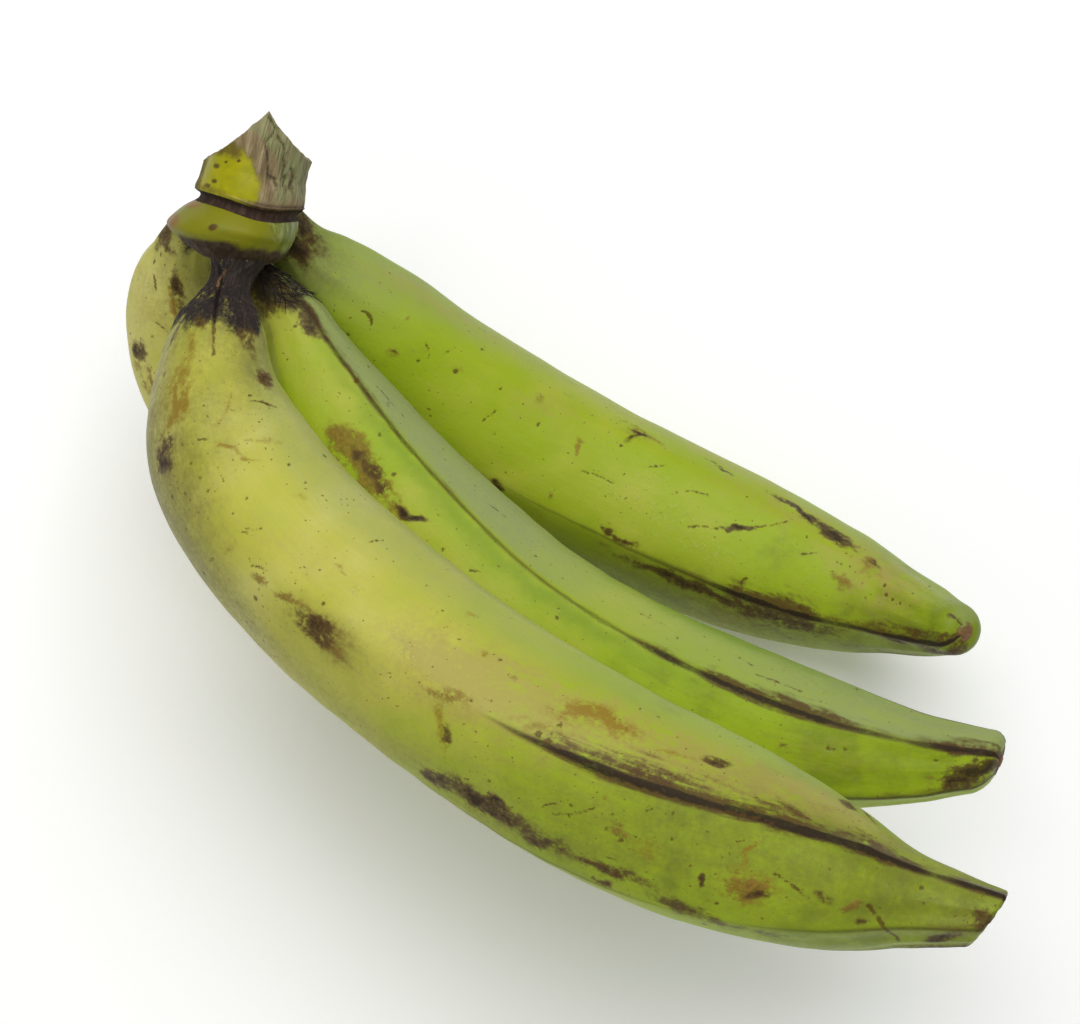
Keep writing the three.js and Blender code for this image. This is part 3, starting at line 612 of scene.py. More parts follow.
def finger_grid(name, sizes):
    """The whole finger: rings along the spine, a rounded rim, and the end face with its flower scar,
    which is a shallow dish with a ragged nub in its middle. The rim is a quarter of an ellipse that starts
    as far back as it reaches in."""
    finger = FINGERS[name]
    even = np.linspace(0, 1, sizes.rows)
    rim = np.linspace(0, np.pi / 2, RIM_ROWS + 1)[1:]
    face = np.linspace(1, 0.05, FACE_ROWS + 1)[1:]
    length = spine_frames(finger, np.zeros(1))[-1]
    end_radius = finger["girth"][-1][1]
    corner = finger["rim"] / end_radius
    back = max(finger["rim"] - TIP_ROUND, 0) / length  # where the rim starts, as a share from the end
    body = (even - 0.03 * np.sin(2 * np.pi * even)) * (1 - back)
    share = np.concatenate([body, 1 - back + back * np.sin(rim), np.ones(len(face))])[:, None]
    around = wrapped(np.arange(sizes.sides)[None] * (360 / sizes.sides) + 180)
    centre, tangent, way, radius, lean, straight, fields = finger_surface(name, share, around, sizes)
    shrink = np.concatenate([np.ones(sizes.rows), 1 - corner * (1 - np.cos(rim)), (1 - corner) * face])
    shrink = shrink[:, None]
    # Rings nearer the middle are rounder.
    mean = radius.mean(1, keepdims=True)
    rounding = smoothstep(1 - 3 * finger["rim"] / length, 1 - back, share) * min(1, 1.25 * corner)
    radius = mean + (radius - mean) * np.clip(shrink / (1 - 0.5 * corner), 0, 1) ** 2 * (1 - rounding)
    # The end stands out, with a dish inside its rim and a nub in the middle of the dish.
    stand = min(TIP_ROUND, finger["rim"])
    push = np.concatenate([np.zeros(sizes.rows), 0.8 * stand * np.sin(rim), stand * (1 - 0.2 * face)])
    inner = (1 - corner) * end_radius
    out_mm = shrink * end_radius
    dish = 0.5 * smoothstep(inner * 0.95, inner * 0.6, out_mm) - 0.8 * smoothstep(2.4, 1.2, out_mm)
    ragged = ripple(straight * shrink[..., None] + [0, 0, 300], 3.2, 5)
    push = push[:, None] - dish + 0.15 * ragged * smoothstep(0.999, 0.9, shrink)
    reach = radius * shrink
    points = centre + way * reach[..., None] + tangent * (lean * reach + push)[..., None]
    points[..., 2] = np.maximum(points[..., 2], 0)
    straight = straight * np.concatenate([shrink, shrink, np.ones_like(shrink)], axis=1)[:, None] * MM
    scar = smoothstep(2.9, 2.1, out_mm + 0.5 * ragged)
    fields["flesh"] = np.maximum(fields["flesh"], scar)
    dead = smoothstep(1 - 0.55 * corner, 1 - 1.2 * corner, shrink + 0.06 * ragged)
    fields["stain"] = np.maximum(fields["stain"], 0.75 * dead)
    return points, straight, fields


# Meshes and objects


def closed_mesh(name, grid, straight, fields, material):
    """A closed surface over rows of rings in mm, with a pole at each end. Faces run from row to row and
    then round, so the rings turn clockwise seen from the last row. The place on the straightened piece and
    the fields become attributes of the points."""
    rows, sides = grid.shape[:2]

    def with_poles(values):
        """The values at every point, row by row, and then the means of the first and the last row."""
        flat = values.reshape(rows * sides, -1)
        ends = [values[0].reshape(sides, -1).mean(0), values[-1].reshape(sides, -1).mean(0)]
        return np.concatenate([flat, ends])

    i, k = np.meshgrid(np.arange(rows - 1), np.arange(sides), indexing="ij")
    here, after = i * sides + k, i * sides + (k + 1) % sides
    quads = np.stack([here, here + sides, after + sides, after], axis=-1).reshape(-1)
    k = np.arange(sides)
    after = (k + 1) % sides
    first, last = rows * sides, (rows - 1) * sides
    caps = [np.stack([np.full(sides, first), k, after], axis=-1),
            np.stack([np.full(sides, first + 1), last + after, last + k], axis=-1)]
    corners = np.concatenate([quads, np.concatenate(caps).reshape(-1)])
    counts = np.concatenate([np.full(len(quads) // 4, 4), np.full(2 * sides, 3)])
    mesh = bpy.data.meshes.new(name)
    mesh.vertices.add(rows * sides + 2)
    mesh.vertices.foreach_set("co", with_poles(grid * MM).ravel())
    mesh.loops.add(len(corners))
    mesh.loops.foreach_set("vertex_index", corners.astype(np.int32))
    mesh.polygons.add(len(counts))
    mesh.polygons.foreach_set("loop_start", np.concatenate([[0], np.cumsum(counts)[:-1]]).astype(np.int32))
    mesh.update(calc_edges=True)
    mesh.shade_smooth()
    for words, values in {"straight": straight, **fields}.items():
        kind, slot = ("FLOAT", "value") if values.ndim == 2 else ("FLOAT_VECTOR", "vector")
        mesh.attributes.new(words, kind, "POINT").data.foreach_set(slot, with_poles(values).ravel())
    return mesh_object(name, mesh, material)


def in_scene(name, data):
    """A new object with that data, in the scene."""
    made = bpy.data.objects.new(name, data)
    bpy.context.scene.collection.objects.link(made)
    return made


def mesh_object(name, mesh, material):
    """An object for the mesh and its material, at the origin."""
    mesh.materials.append(material)
    return in_scene(name, mesh)


# Materials


def add(tree, kind, *values, out=0, **settings):
    """Adds one node and returns one of its outputs. Settings go to its properties. The values go to its
    inputs in order, each a number, a colour or another node's output, and None leaves one as it is."""
    node = tree.nodes.new("ShaderNode" + kind)
    for key, value in settings.items():
        setattr(node, key, value)
    for socket, value in zip([s for s in node.inputs if s.enabled], values):
        if isinstance(value, bpy.types.NodeSocket):
            tree.links.new(value, socket)
        elif value is not None:
            socket.default_value = value
    return [s for s in node.outputs if s.enabled][out]


def new_material(name, *fields):
    """A material with one Principled shader, that shader, a function that adds nodes to it, and a node for
    each named field of the mesh."""
    material = bpy.data.materials.new(name)
    material.use_nodes = True
    tree = material.node_tree
    node = functools.partial(add, tree)
    field = {words: node("Attribute", attribute_name=words, out=2) for words in fields}
    return material, tree.nodes["Principled BSDF"], node, field


def weighted(node, total, *terms):
    """The total plus each term's value times its weight."""
    for value, weight in terms:
        total = node("Math", value, weight, total, **TIMES_PLUS)
    return total


def layered(node, skin, *layers):
    """The skin under layers, each a share and the colour that covers that share of what lies below it."""
    for share, cover in layers:
        skin = node("Mix", share, skin, cover, data_type="RGBA")
    return skin


def patches(node, field, broken, *kinds):
    """How much of the skin each kind of patch covers. A kind is a field, the values of the broken field
    where the cover starts and where it is full, and that full cover."""
    return [node("MapRange", node("Math", field[words], broken, **TIMES), low, high, 0, most, **SOFT)
            for words, low, high, most in kinds]


def finish(material, shader, skin, rough, height):
    """Links the colour, the roughness and a relief in mm to the shader."""
    tree = material.node_tree
    bump = add(tree, "Bump", 1.0, MM, None, height)
    tree.links.new(skin, shader.inputs["Base Color"])
    tree.links.new(rough, shader.inputs["Roughness"])
    tree.links.new(bump, shader.inputs["Normal"])
    shader.inputs["IOR"].default_value = 1.45
    shader.inputs["Specular IOR Level"].default_value = 0.22
    return material


def per_mm(size):
    """The Scale of a noise whose features are that many mm wide."""
    return 1 / (size * MM)


def peel_material(colours):
    """Green plantain peel: a thin waxy cuticle over firm skin, green with yellow clouds, and with a satin
    gloss broken up by fine lengthwise grain. Sap stains and cork are dull, brown and blotchy inside, with
    edges that fray along the grain."""
    material, shader, node, field = new_material(
        "waxy plantain peel", "stain", "scuff", "ochre", "tan", "painted_shade", "shade", "wax_glint", "flesh", "nick",
        "crest", "side", "wear", "neck", "bloom", "yellow")
    place = node("TexCoord", out=3)
    straight = node("Attribute", attribute_name="straight", out=1)
    long_place = node("Mapping", straight, None, None, (1, 1, 0.12))
    longest_place = node("Mapping", straight, None, None, (1, 1, 0.05))
    cloud = node("TexNoise", place, per_mm(26), 3, 0.55)
    blot = node("TexNoise", place, per_mm(6), 5, 0.68)
    crumb = node("TexNoise", place, per_mm(1.3), 4, 0.65)
    fibre = node("TexNoise", long_place, per_mm(2.2), 5, 0.62)
    grain = node("TexNoise", longest_place, per_mm(0.8), 3, 0.6)

    # How a patch breaks up inside: about 1 on the whole, from nothing to two.
    broken = weighted(node, -2.0, (blot, 2.4), (crumb, 1.8), (fibre, 1.8))
    # Green skin turns yellow in clouds, with deeper green between them.
    ripe = weighted(node, -0.75, (cloud, 1.5), (fibre, 0.5), (field["yellow"], 1))
    patchy = node("MapRange", weighted(node, 0.35, (ripe, 1), (blot, -0.7)), -0.45, 0.15, **SOFT)
    # Dull bloom lies on the facets that nothing has rubbed, and the same cover paints a sheen on the
    # facets that face the light.
    dust_and_sheen = node("Math", weighted(node, 0.6, (broken, 0.35)), field["bloom"], **TIMES, use_clamp=True)
    # Dried tan peel, sap streaks, cork where the peel was rubbed, sap stains with a nearly black core, and
    # the flesh that shows in the neck's split and at the flower scar.
    dried, streak, cork, edge, core, raw = patches(
        node, field, broken, ("tan", 0.05, 0.95, 0.8), ("ochre", 0.25, 1, 0.8), ("scuff", 0.3, 0.8, 0.85),
        ("stain", 0.15, 0.6, 0.88), ("stain", 0.5, 1.15, 0.78), ("flesh", 0.3, 0.8, 0.9))
    # Olive smudges, and painted shade on lower sides, edges and tips, both from the shade field.
    (smudge_and_shade,) = patches(node, field, weighted(node, 0.55, (broken, 0.45)), ("shade", 0.1, 1.1, 0.7))
    (dry,) = patches(node, field, weighted(node, 0.3, (broken, 0.8)), ("neck", 0.2, 0.95, 1))
    # Pinprick flecks: rare on sound peel, thick where it is smudged or scuffed.
    fleck = weighted(node, node("TexNoise", place, per_mm(1.1), 1, 0.4),
                     (field["scuff"], 0.05), (field["shade"], 0.03), (cloud, 0.2))
    fleck = node("MapRange", fleck, 0.83, 0.89, 0, 0.75, **SOFT)
    # Flakes of wax, glossier, with a painted glint that lightens them.
    glint_flake = node("Math", field["wax_glint"], node("MapRange", crumb, 0.52, 0.62, **SOFT), **TIMES)
    # The worn crest of a ridge: a dark line, wider where it is more worn, in a brown halo that spreads
    # more to one side.
    ragged = weighted(node, -2.55, (crumb, 1.5), (blot, 2.2), (fibre, 1.4), (field["crest"], 1))
    width = node("Math", field["wear"], weighted(node, -0.3, (fibre, 2.6)), **TIMES)
    strength = node("MapRange", field["wear"], 0.02, 0.6, 0, 0.92)
    spread = weighted(node, 0.4, (weighted(node, 4.8, (field["side"], 3.6)), width))
    halo = node("MapRange", node("Math", ragged, spread, operation="DIVIDE"), 1.1, 0.1, **SOFT)
    halo = node("Math", node("Math", halo, broken, **TIMES), strength, **TIMES)
    halo = node("MapRange", halo, 0.1, 0.9, 0, 0.9, **SOFT)
    line = node("MapRange", weighted(node, ragged, (width, -1.05)), 0.45, -0.25, 0, 0.97, **SOFT)
    line = node("Math", line, strength, **TIMES)
    # Nicks and dots, healed brown, and dark slits where a nick crosses the dry neck.
    nick = weighted(node, -1.1, (crumb, 2.2), (field["nick"], 1))
    nick = node("MapRange", nick, 0.3, -0.2, 0, 0.8, **SOFT)
    slit = node("Math", node("MapRange", field["nick"], 0.15, -0.25, 0, 0.9, **SOFT), dry, **TIMES)

    cork_colour = layered(node, colours.scuff, (node("MapRange", crumb, 0.35, 0.65), linear("8f742c")))
    bark = layered(node, colours.neck,
                   (node("MapRange", grain, 0.45, 0.75, 0, 0.4, **SOFT), linear("5e5047")))
    skin = layered(
        node, colours.deep,
        (patchy, colours.green),
        (node("MapRange", ripe, 0.1, 1.3, **SOFT), colours.yellow),
        # Pale peel on the yellowest clouds, partly a painted highlight.
        (node("MapRange", ripe, 1.1, 2.1, **SOFT), colours.pale),
        (node("MapRange", grain, 0.4, 0.8, 0, 0.12, **SOFT), colours.bloom),
        # Dull bloom and painted sheen.
        (dust_and_sheen, colours.bloom),
        (dried, colours.tan),
        # Painted shade: a deeper green where a facet lies in shade.
        (field["painted_shade"], linear("688800")),
        (smudge_and_shade, colours.shade),
        (streak, colours.ochre),
        (fleck, colours.scuff),
        # Painted glint on the wax flakes.
        (node("Math", glint_flake, 0.4, **TIMES), linear("d3d88a")),
        (cork, cork_colour),
        (edge, colours.stain),
        (core, colours.black),
        (halo, colours.stain),
        (line, colours.black),
        (nick, linear("54390f")),
        (dry, bark),
        (slit, linear("0f0b09")),
        (raw, layered(node, linear("3a2616"), (crumb, linear("a97f58")))))
    rough = weighted(node, node("MapRange", crumb, 0.25, 0.75, 0.36, 0.54),
                     (cork, 0.22), (line, 0.25), (core, 0.15), (dust_and_sheen, 0.08), (dry, 0.22))
    rough = node("Math", glint_flake, -0.2, rough, **TIMES_PLUS, use_clamp=True)
    height = weighted(node, 0, (crumb, 0.06), (grain, 0.05), (blot, 0.22), (cork, 0.12), (core, -0.08),
                      (nick, -0.05), (line, 0.08), (glint_flake, 0.12), (node("Math", dry, grain, **TIMES), 0.7))
    return finish(material, shader, skin, rough, height)


def crown_material(colours):
    """Cut banana stalk: smooth satin green-yellow skin on one side, dried and wrinkled like bark on the
    other, with black sap in the groove, and painted shade in the same dark colour underneath."""
    material, shader, node, field = new_material(
        "dried plantain stalk", "bark", "grey", "fissure", "groove", "sap", "lip", "spot", "ochre",
        "collar", "shade", "leaf")
    place = node("TexCoord", out=3)
    straight = node("Attribute", attribute_name="straight", out=1)
    long_place = node("Mapping", straight, None, None, (1, 1, 0.17))
    blot = node("TexNoise", place, per_mm(5), 5, 0.65)
    crumb = node("TexNoise", place, per_mm(1.1), 4, 0.65)
    fibre = node("TexNoise", long_place, per_mm(1.6), 4, 0.65)
    # The dried side wrinkles in long wavy creases, where a stretched noise crosses its own middle.
    crease = node("TexNoise", long_place, per_mm(3.4), 2, 0.5, None, 1.1)
    crease = node("Math", weighted(node, -0.5, (crease, 1)), operation="ABSOLUTE")
    crease = node("MapRange", crease, 0.05, 0.0, **SOFT)

    broken = weighted(node, -0.85, (blot, 1.5), (crumb, 1.1), (fibre, 1.1))
    smudge_and_shade, grey, lip_edge, spots = patches(
        node, field, broken, ("shade", 0.1, 1, 0.85), ("grey", 0.4, 1.1, 1), ("ochre", 0.2, 0.9, 0.8),
        ("spot", 0.25, 0.8, 0.85))
    bark = node("MapRange", weighted(node, -0.6, (broken, 0.6), (field["bark"], 1)), 0.1, 0.8, **SOFT)
    creased = node("Math", node("Math", crease, bark, **TIMES), 0.22, **TIMES)
    line = weighted(node, -0.45, (crumb, 0.9), (field["fissure"], 1))
    line = node("MapRange", line, 0.5, -0.1, 0, 0.75, **SOFT)
    # The sap field is dark sap beside the groove and painted shade under the collar.
    sap = weighted(node, -0.3, (broken, 0.3), (field["sap"], 1))
    sap = node("MapRange", sap, 0.1, 0.9, 0, 0.97, **SOFT)
    cleft = node("MapRange", weighted(node, field["groove"], (broken, 0.25)), 0.5, 0.9, **SOFT)

    leaf = layered(node, linear("66701e"), (node("MapRange", fibre, 0.4, 0.65, **SOFT), linear("939c58")))
    dried = layered(node, colours.bark, (grey, colours.grey),
                    (node("MapRange", fibre, 0.54, 0.34, 0, 0.65, **SOFT), linear("5c4a38")),
                    (node("MapRange", fibre, 0.52, 0.7, 0, 0.5, **SOFT), linear("aea883")))
    stained = layered(node, colours.groove,
                      (node("MapRange", fibre, 0.4, 0.7, 0, 0.5, **SOFT), linear("60493c")))
    skin = layered(
        node, colours.skin,
        (field["collar"], colours.collar),
        (node("MapRange", blot, 0.35, 0.7, 0, 0.4, **SOFT), linear("6f7d14")),
        (field["leaf"], leaf),
        # Smudges, and painted shade on the left side face.
        (smudge_and_shade, linear("5b4a22")),
        (bark, dried),
        (creased, linear("3f3a28")),
        (lip_edge, colours.ochre),
        (line, linear("4a4630")),
        (spots, linear("4a2c14")),
        (sap, stained),
        (cleft, stained),
        (node("Math", field["lip"], 0.55, **TIMES), linear("9a855c")))
    rough = weighted(node, 0.38, (crumb, 0.15), (bark, 0.25), (sap, 0.2), (cleft, 0.35), (smudge_and_shade, 0.4))
    height = weighted(node, 0, (node("Math", bark, fibre, **TIMES), 0.4), (crumb, 0.08), (creased, -0.5),
                      (line, -0.3), (node("Math", sap, fibre, **TIMES), 0.6))
    return finish(material, shader, skin, rough, height)


def strand_material():
    """Dry plant fibre: dull and dark brown, paler where a strand is frayed."""
    material, shader, node, _ = new_material("dry plantain fibre")
    frayed = node("MapRange", node("TexNoise", node("TexCoord", out=3), per_mm(2), 2), 0.4, 0.7)
    skin = layered(node, linear("1d1614"), (frayed, linear("54453a")))
    material.node_tree.links.new(skin, shader.inputs["Base Color"])
    shader.inputs["Roughness"].default_value = 0.75
    return material


# The crown


def crown_turn():
    """The turn from the crown's own frame to the part's: yaw about Z, then roll about Y, then lean
    about X."""
    lean, roll, yaw = np.radians([-CROWN["lean"], CROWN["roll"], CROWN["yaw"]])
    about_x = [[1, 0, 0], [0, np.cos(lean), -np.sin(lean)], [0, np.sin(lean), np.cos(lean)]]
    about_y = [[np.cos(roll), 0, np.sin(roll)], [0, 1, 0], [-np.sin(roll), 0, np.cos(roll)]]
    about_z = [[np.cos(yaw), -np.sin(yaw), 0], [np.sin(yaw), np.cos(yaw), 0], [0, 0, 1]]
    return np.array(about_x) @ about_y @ about_z


def cut_height(x):
    """Height of the cut face: two scoops that rise from an outer corner to the peak and sag a little."""
    px, pz = CROWN["peak"]
    heights = []
    for (cx, cz), scoop in zip(CROWN["corners"], CROWN["scoops"]):
        t = (x - cx) / (px - cx)
        heights.append(cz + (pz - cz) * t - 4 * scoop * t * (1 - t))
    return np.where(x < px, heights[0], heights[1])


def line_distance(x, z, points):
    """Distance in the plane from each point to a broken line."""
    nearest = np.full(x.shape, np.inf)
    for (x0, z0), (x1, z1) in zip(points[:-1], points[1:]):
        dx, dz = x1 - x0, z1 - z0
        t = np.clip(((x - x0) * dx + (z - z0) * dz) / (dx * dx + dz * dz), 0, 1)
        nearest = np.minimum(nearest, np.hypot(x - x0 - t * dx, z - z0 - t * dz))
    return nearest


# Cracks in the dried side of the crown, and the edge of the leaf folded round its collar, as places
# across and along it. The leaf starts past a curve close to that edge: how far across, for places along.
FISSURES = [
    [(0.2, 27), (1.6, 25.6), (2.2, 24.2), (1.4, 22), (0.4, 20), (0.9, 18.1), (2.2, 16), (3.2, 14.2),
     (3.8, 12.4), (5.4, 10.8), (5.6, 8.8)],
    [(3.6, 22.4), (5.4, 20.8), (6.4, 18.6), (5.8, 16.4), (7.4, 14.4), (8.6, 12), (8.2, 9.8)],
    [(9.4, 14.8), (10.4, 12.2), (9.8, 9)],
]
LEAF_EDGE = [(5.4, 0.8), (7, -1), (8.6, -3.4), (10, -6), (9.6, -8.8), (7.8, -11.6)]
LEAF_START = [[-12, -8.8, -6, -3.4, -1, 1], [7.6, 9.6, 10, 8.6, 7, 5]]
# Spots on the crown: place across and along, half length and half width. They lean a little.
SPOTS = [(-8.7, -5.4, 1.9, 1.0), (-11.3, 10.8, 1.0, 0.9), (-11.2, 6.8, 0.8, 0.7), (-5.5, 13.7, 0.7, 0.6),
         (-9, 12.6, 0.8, 0.5), (-12.8, 5.2, 0.9, 0.8)]
SPOT_LEAN = 0.85, 0.53  # the way of a spot's long side, across and along
CRACK_FAR = 9.0  # stands for the distance to a crack, in mm, where there is none


def crown_grid(rows=170, wall_rows=45, face_rows=33, sides=260):
    """The chunk of stalk, its place in its own frame and the fields on it: ovals stacked along Z, a wall up
    to the cut, and the cut face, which closes in rings on its middle. Wrinkles and cracks are cut into it
    along its normal."""
    levels = CROWN["levels"]
    table = np.array(levels, float)
    wall = np.linspace(0, 1, wall_rows + 1)[1:]
    face = np.linspace(1, 0.02, face_rows + 1)[1:]
    height = np.concatenate([np.linspace(levels[0][0], levels[-1][0], rows),
                             np.full(len(wall) + len(face), float(levels[-1][0]))])
    rise = np.concatenate([np.zeros(rows), wall, np.ones(len(face))])[:, None]
    shrink = np.concatenate([np.ones(rows + len(wall)), face])[:, None]
    half_x, half_y, mid_x, mid_y = (smooth(table[:, [0, i]], height)[:, None] for i in range(1, 5))
    angle = -np.arange(sides)[None] * (2 * np.pi / sides)
    c, s = np.cos(angle), np.sin(angle)
    power = CROWN["squareness"]
    oval = (np.abs(c) ** power + np.abs(s) ** power) ** (-1 / power)
    x = mid_x + shrink * half_x * oval * c
    y = mid_y + shrink * half_y * oval * s
    z = height[:, None] + rise * (cut_height(x) - height[:, None])
    own = np.stack([x, y, z], axis=-1)

    on_face = (shrink < 0.999) * np.ones_like(x)
    on_wall = 1 - on_face
    upper = smoothstep(2.6, 3.6, z) * on_wall
    uneven = ripple(own, 7, 66)
    # From the smooth yellow patch the skin turns beige, and further round grey-green.
    past_patch = np.hypot(x + 10, z - 6.5) - 11.5 + 1.1 * uneven
    bark = smoothstep(-2, 2, past_patch)
    grey = smoothstep(3.4, 7, past_patch + 0.8 * uneven) * smoothstep(4, 9, z + uneven)
    warp = 0.6 * ripple(own, 5, 61)
    fissure = np.full(x.shape, CRACK_FAR)
    for points in FISSURES:
        fissure = np.minimum(fissure, line_distance(x + warp, z + warp, points))
    fissure = np.where(on_wall * (z > 3) > 0, fissure, CRACK_FAR)
    on_collar = (z < 0.6) & (y < mid_y + 6)
    fold = np.where(on_collar, line_distance(x + 0.5 * warp, z, LEAF_EDGE), CRACK_FAR)
    leaf = smoothstep(-1.2, 1.6, x - np.interp(z, *LEAF_START)) * on_collar
    groove = smoothstep(-0.2, 0.5, z) * (1 - smoothstep(3.0, 3.6, z)) * on_wall
    # Painted shade: the skin darkens towards the underside of the collar.
    below = 1 - smoothstep(-11, -6, z + 1.1 * ripple(own, 8, 62) - 0.1 * x)
    near_groove = bell(z - 3.6, 1.4) * smoothstep(-7, 3, x) * upper
    lip = bell(z - 4.0, 0.25) * on_wall * smoothstep(-11, -3, x)
    wrinkle = ripple(own * [1, 1, 0.28], 3.4, 63) + 0.5 * ripple(own * [1, 1, 0.4], 1.8, 64)
    lumps = ripple(own, 12, 65)
    relief = (0.4 * lumps + 0.22 * wrinkle * np.maximum(bark * upper, leaf * 0.4)
              - 0.6 * bell(fissure, 0.5) - 0.25 * bell(fold, 0.7) + 0.4 * leaf + 0.2 * wrinkle * below
              + 0.2 * wrinkle * groove + 0.3 * lip)
    across = unit(np.stack([c * half_y, s * half_x, 0 * c * half_x], axis=-1))
    points = own + across * (relief * on_wall)[..., None]
    # The groove sags in the middle and turns up at its right end.
    sag = 1.3 * bell(x - 3, 8) - 0.8 * smoothstep(7, 15, x)
    points[..., 2] -= sag * bell(z - 1.5, 5.5) * on_wall * smoothstep(6, -6, y)
    points[..., 2] += on_face * (0.35 * wrinkle + 0.25 * lumps)

    def oval_bell(u, v, long, wide):
        """A bell over an oval that is twice that long and wide."""
        return bell(np.hypot(u / long, v / wide), 1)

    spot = np.zeros_like(x)
    lean_x, lean_z = SPOT_LEAN
    for place_x, place_z, *size in SPOTS:
        u, v = x - place_x, z - place_z
        spot = np.maximum(spot, oval_bell(u * lean_x + v * lean_z, v * lean_x - u * lean_z, *size))
    spot = spot * (y < mid_y)
    ochre = np.maximum(oval_bell(x + 20.5, z + 6.5, 3, 3), oval_bell(x + 16.5, z + 0.6, 3.5, 1.6))
    # The skin is smudged below the cut, over the groove and round the yellow patch; at the left edge painted
    # shade darkens the side face.
    top, left = smoothstep(12, 16, z) * smoothstep(-2, -7, x), smoothstep(-13.4, -15.2, x) * (z > 3)
    over = 0.6 * bell(z - 4.2, 1.4) * smoothstep(-2, -9, x)
    round_patch = 0.75 * bell(past_patch - 0.6, 1.5) * upper
    shade = np.maximum(np.maximum(top, left) * on_wall, np.maximum(over, round_patch))
    # sap: painted shade under the collar together with dark sap beside the groove.
    fields = {
        "bark": np.maximum(bark * upper, on_face), "grey": grey * on_wall, "leaf": leaf,
        "fissure": np.minimum(fissure, fold + 0.3), "groove": groove,
        "sap": np.maximum(below, near_groove * 0.9), "lip": lip, "spot": spot, "ochre": ochre,
        "collar": (z < 0.5) * 1.0, "shade": shade,
    }
    fields = {words: np.broadcast_to(values, x.shape) for words, values in fields.items()}
    grid = points @ crown_turn().T + np.array(CROWN["place"]) - ORIGIN
    return grid, own * MM, fields


# Loose fibres


def strand_mesh(name, routes, thickness, material):
    """A three-sided tube along each route of points in mm, tapered to its free end."""
    count, steps = routes.shape[:2]
    way = unit(np.gradient(routes, axis=1))
    out = unit(np.cross(way, [0.3, 0.2, 0.93]))
    side = np.cross(way, out)
    taper = thickness[:, None] * np.linspace(1, 0.3, steps)[None]
    rings = [routes + (out * np.cos(a) + side * np.sin(a)) * taper[..., None]
             for a in np.radians([0, 120, 240])]
    points = np.stack(rings, axis=2).reshape(-1, 3)
    base = np.arange(count)[:, None, None] * steps * 3
    i = np.arange(steps - 1)[None, :, None] * 3
    k = np.arange(3)[None, None]
    here, after = base + i + k, base + i + (k + 1) % 3
    quads = np.stack([here, here + 3, after + 3, after], axis=-1).reshape(-1, 4)
    start = np.arange(count)[:, None] * steps * 3
    caps = np.concatenate([start + [0, 1, 2], start + (steps - 1) * 3 + [2, 1, 0]])
    mesh = bpy.data.meshes.new(name)
    mesh.from_pydata((points * MM).tolist(), [], quads.tolist() + caps.tolist())
    mesh.shade_smooth()
    return mesh_object(name, mesh, material)


def strand_routes(sizes):
    """Where the loose fibres lie: each starts on the middle finger's neck and runs down it, lifting off
    as the square of the way it has gone."""
    name = "finger_middle"
    draw = np.random.default_rng(11)
    gone = np.linspace(0, 1, 6)
    length = spine_frames(FINGERS[name], np.zeros(1))[-1]
    routes = []
    for _ in range(sizes.strands):
        start, reach = draw.uniform(8, 20), draw.uniform(1.5, 4.5)
        around = draw.uniform(-25, 75) + draw.uniform(-25, 25) * gone
        share = (start + reach * gone) / length
        centre, _, way, radius, *_ = finger_surface(name, share, around, sizes)
        lift = radius - 0.1 + draw.uniform(0.4, 1.9) * gone**2
        routes.append(centre + way * lift[:, None])
    return np.array(routes), draw.uniform(0.12, 0.24, sizes.strands)


# Operators, one for each group of pieces and one for the stage


class PLANTAIN_OT_fingers(bpy.types.Operator):
    """Make the four fingers and dress them in peel"""

    bl_idname = "plantain.fingers"
    bl_label = "Grow Fingers"

    def execute(self, context):
        peel = peel_material(context.scene.plantain_peel)
        for name in FINGERS:
            grid, straight, fields = finger_grid(name, context.scene.plantain_sizes)
            finger = closed_mesh(f"{name}_peel", grid, straight, fields, peel)
            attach(finger, "root")
            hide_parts(name)
        return {"FINISHED"}


class PLANTAIN_OT_crown(bpy.types.Operator):
    """Make the cut crown that holds the fingers"""

    bl_idname = "plantain.crown"
    bl_label = "Cut Crown"

    def execute(self, context):
        stalk = crown_material(context.scene.plantain_crown)
        crown = closed_mesh("crown_stalk", *crown_grid(), stalk)
        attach(crown, "root")
        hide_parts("crown")
        return {"FINISHED"}


class PLANTAIN_OT_strands(bpy.types.Operator):
    """Add the loose dry fibres at the middle finger's neck"""

    bl_idname = "plantain.strands"
    bl_label = "Fray Neck"

    def execute(self, context):
        routes, thickness = strand_routes(context.scene.plantain_sizes)
        strands = strand_mesh("neck_fibres", routes, thickness, strand_material())
        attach(strands, "root")
        return {"FINISHED"}


def floor_material(floor_colour):
    """A sheet of matte card: even, pale and without gloss, and lit a little from behind."""
    material, shader, _, _ = new_material("matte white card")
    shader.inputs["Base Color"].default_value = floor_colour
    shader.inputs["Roughness"].default_value = 0.9
    shader.inputs["Specular IOR Level"].default_value = 0.1
    shader.inputs["Emission Color"].default_value = floor_colour
    shader.inputs["Emission Strength"].default_value = 0.12
    return material


def add_light(name, place, size, power, middle=(0, 0, 0.06)):
    """A square soft light, in metres, turned to face the middle of the hand."""
    data = bpy.data.lights.new(name, "AREA")
    data.size = size
    data.energy = power
    light = in_scene(name, data)
    way = mathutils.Vector(middle) - mathutils.Vector(place)
    light.location = place
    light.rotation_euler = way.to_track_quat("-Z", "Y").to_euler()


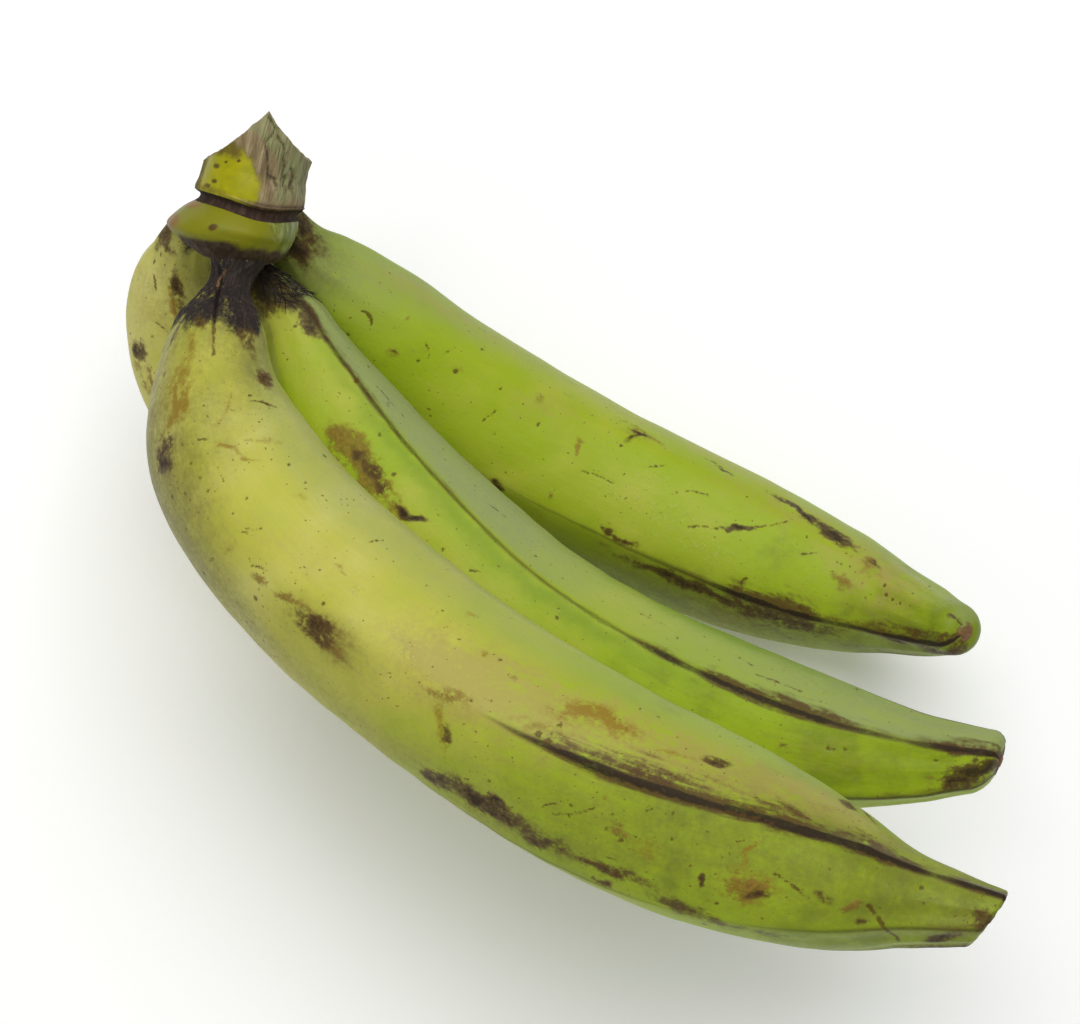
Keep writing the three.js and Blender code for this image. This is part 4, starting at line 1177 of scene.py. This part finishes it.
class PLANTAIN_OT_stage(bpy.types.Operator):
    """Set up the floor, the lights and the camera"""

    bl_idname = "plantain.stage"
    bl_label = "Set Stage"

    def execute(self, context):
        settings = context.scene.plantain_stage
        half = 3.0
        corners = [(-half, -half, 0), (half, -half, 0), (half, half, 0), (-half, half, 0)]
        mesh = bpy.data.meshes.new("floor")
        mesh.from_pydata(corners, [], [(0, 1, 2, 3)])
        mesh_object("floor", mesh, floor_material(settings.floor))
        world = bpy.data.worlds.new("studio")
        world.use_nodes = True
        world.node_tree.nodes["Background"].inputs["Color"].default_value = (1, 1, 1, 1)
        world.node_tree.nodes["Background"].inputs["Strength"].default_value = settings.sky
        context.scene.world = world
        context.scene.view_settings.view_transform = "Standard"
        add_light("key", (0.0, 0.22, 1.28), 1.1, settings.key)
        add_light("fill", (-0.5, -0.9, 1.1), 1.2, settings.fill)
        tilt = math.radians(CAMERA["elevation"])
        place = CAMERA["distance"] * np.array([0, -math.cos(tilt), math.sin(tilt)]) - ORIGIN
        lens = bpy.data.cameras.new("camera")
        lens.lens = CAMERA["lens"]
        lens.sensor_width = CAMERA["sensor"]
        camera = in_scene("camera", lens)
        camera.location = place * MM
        camera.rotation_euler = (math.pi / 2 - tilt, 0, 0)
        context.scene.camera = camera
        return {"FINISHED"}


class PLANTAIN_PT_hand(bpy.types.Panel):
    """Panel with the hand's sizes and colours and the steps that make it"""

    bl_idname = "PLANTAIN_PT_hand"
    bl_label = "Plantain Hand"
    bl_space_type = "VIEW_3D"
    bl_region_type = "UI"
    bl_category = "Plantains"

    def draw(self, context):
        for group in GROUPS:
            settings = getattr(context.scene, group)
            box = self.layout.box()
            for words in settings.bl_rna.properties.keys():
                if words not in ("rna_type", "name"):
                    box.prop(settings, words)
        for operator in OPERATORS:
            self.layout.operator(operator.bl_idname)


GROUPS = {
    "plantain_sizes": HandSizes,
    "plantain_peel": PeelColours,
    "plantain_crown": CrownColours,
    "plantain_stage": StageSettings,
}
OPERATORS = (PLANTAIN_OT_fingers, PLANTAIN_OT_crown, PLANTAIN_OT_strands, PLANTAIN_OT_stage)


def register():
    """Register the classes and give the scene its settings."""
    for made in (*GROUPS.values(), *OPERATORS, PLANTAIN_PT_hand):
        bpy.utils.register_class(made)
    for name, group in GROUPS.items():
        setattr(bpy.types.Scene, name, PointerProperty(type=group))


def unregister():
    """Take the settings off the scene and unregister the classes."""
    for name in GROUPS:
        delattr(bpy.types.Scene, name)
    for made in (PLANTAIN_PT_hand, *OPERATORS, *GROUPS.values()):
        bpy.utils.unregister_class(made)


def main():
    """Make the stage and the pieces."""
    register()
    bpy.ops.plantain.stage()
    bpy.ops.plantain.fingers()
    bpy.ops.plantain.crown()
    bpy.ops.plantain.strands()


if __name__ == "__main__":
    main()
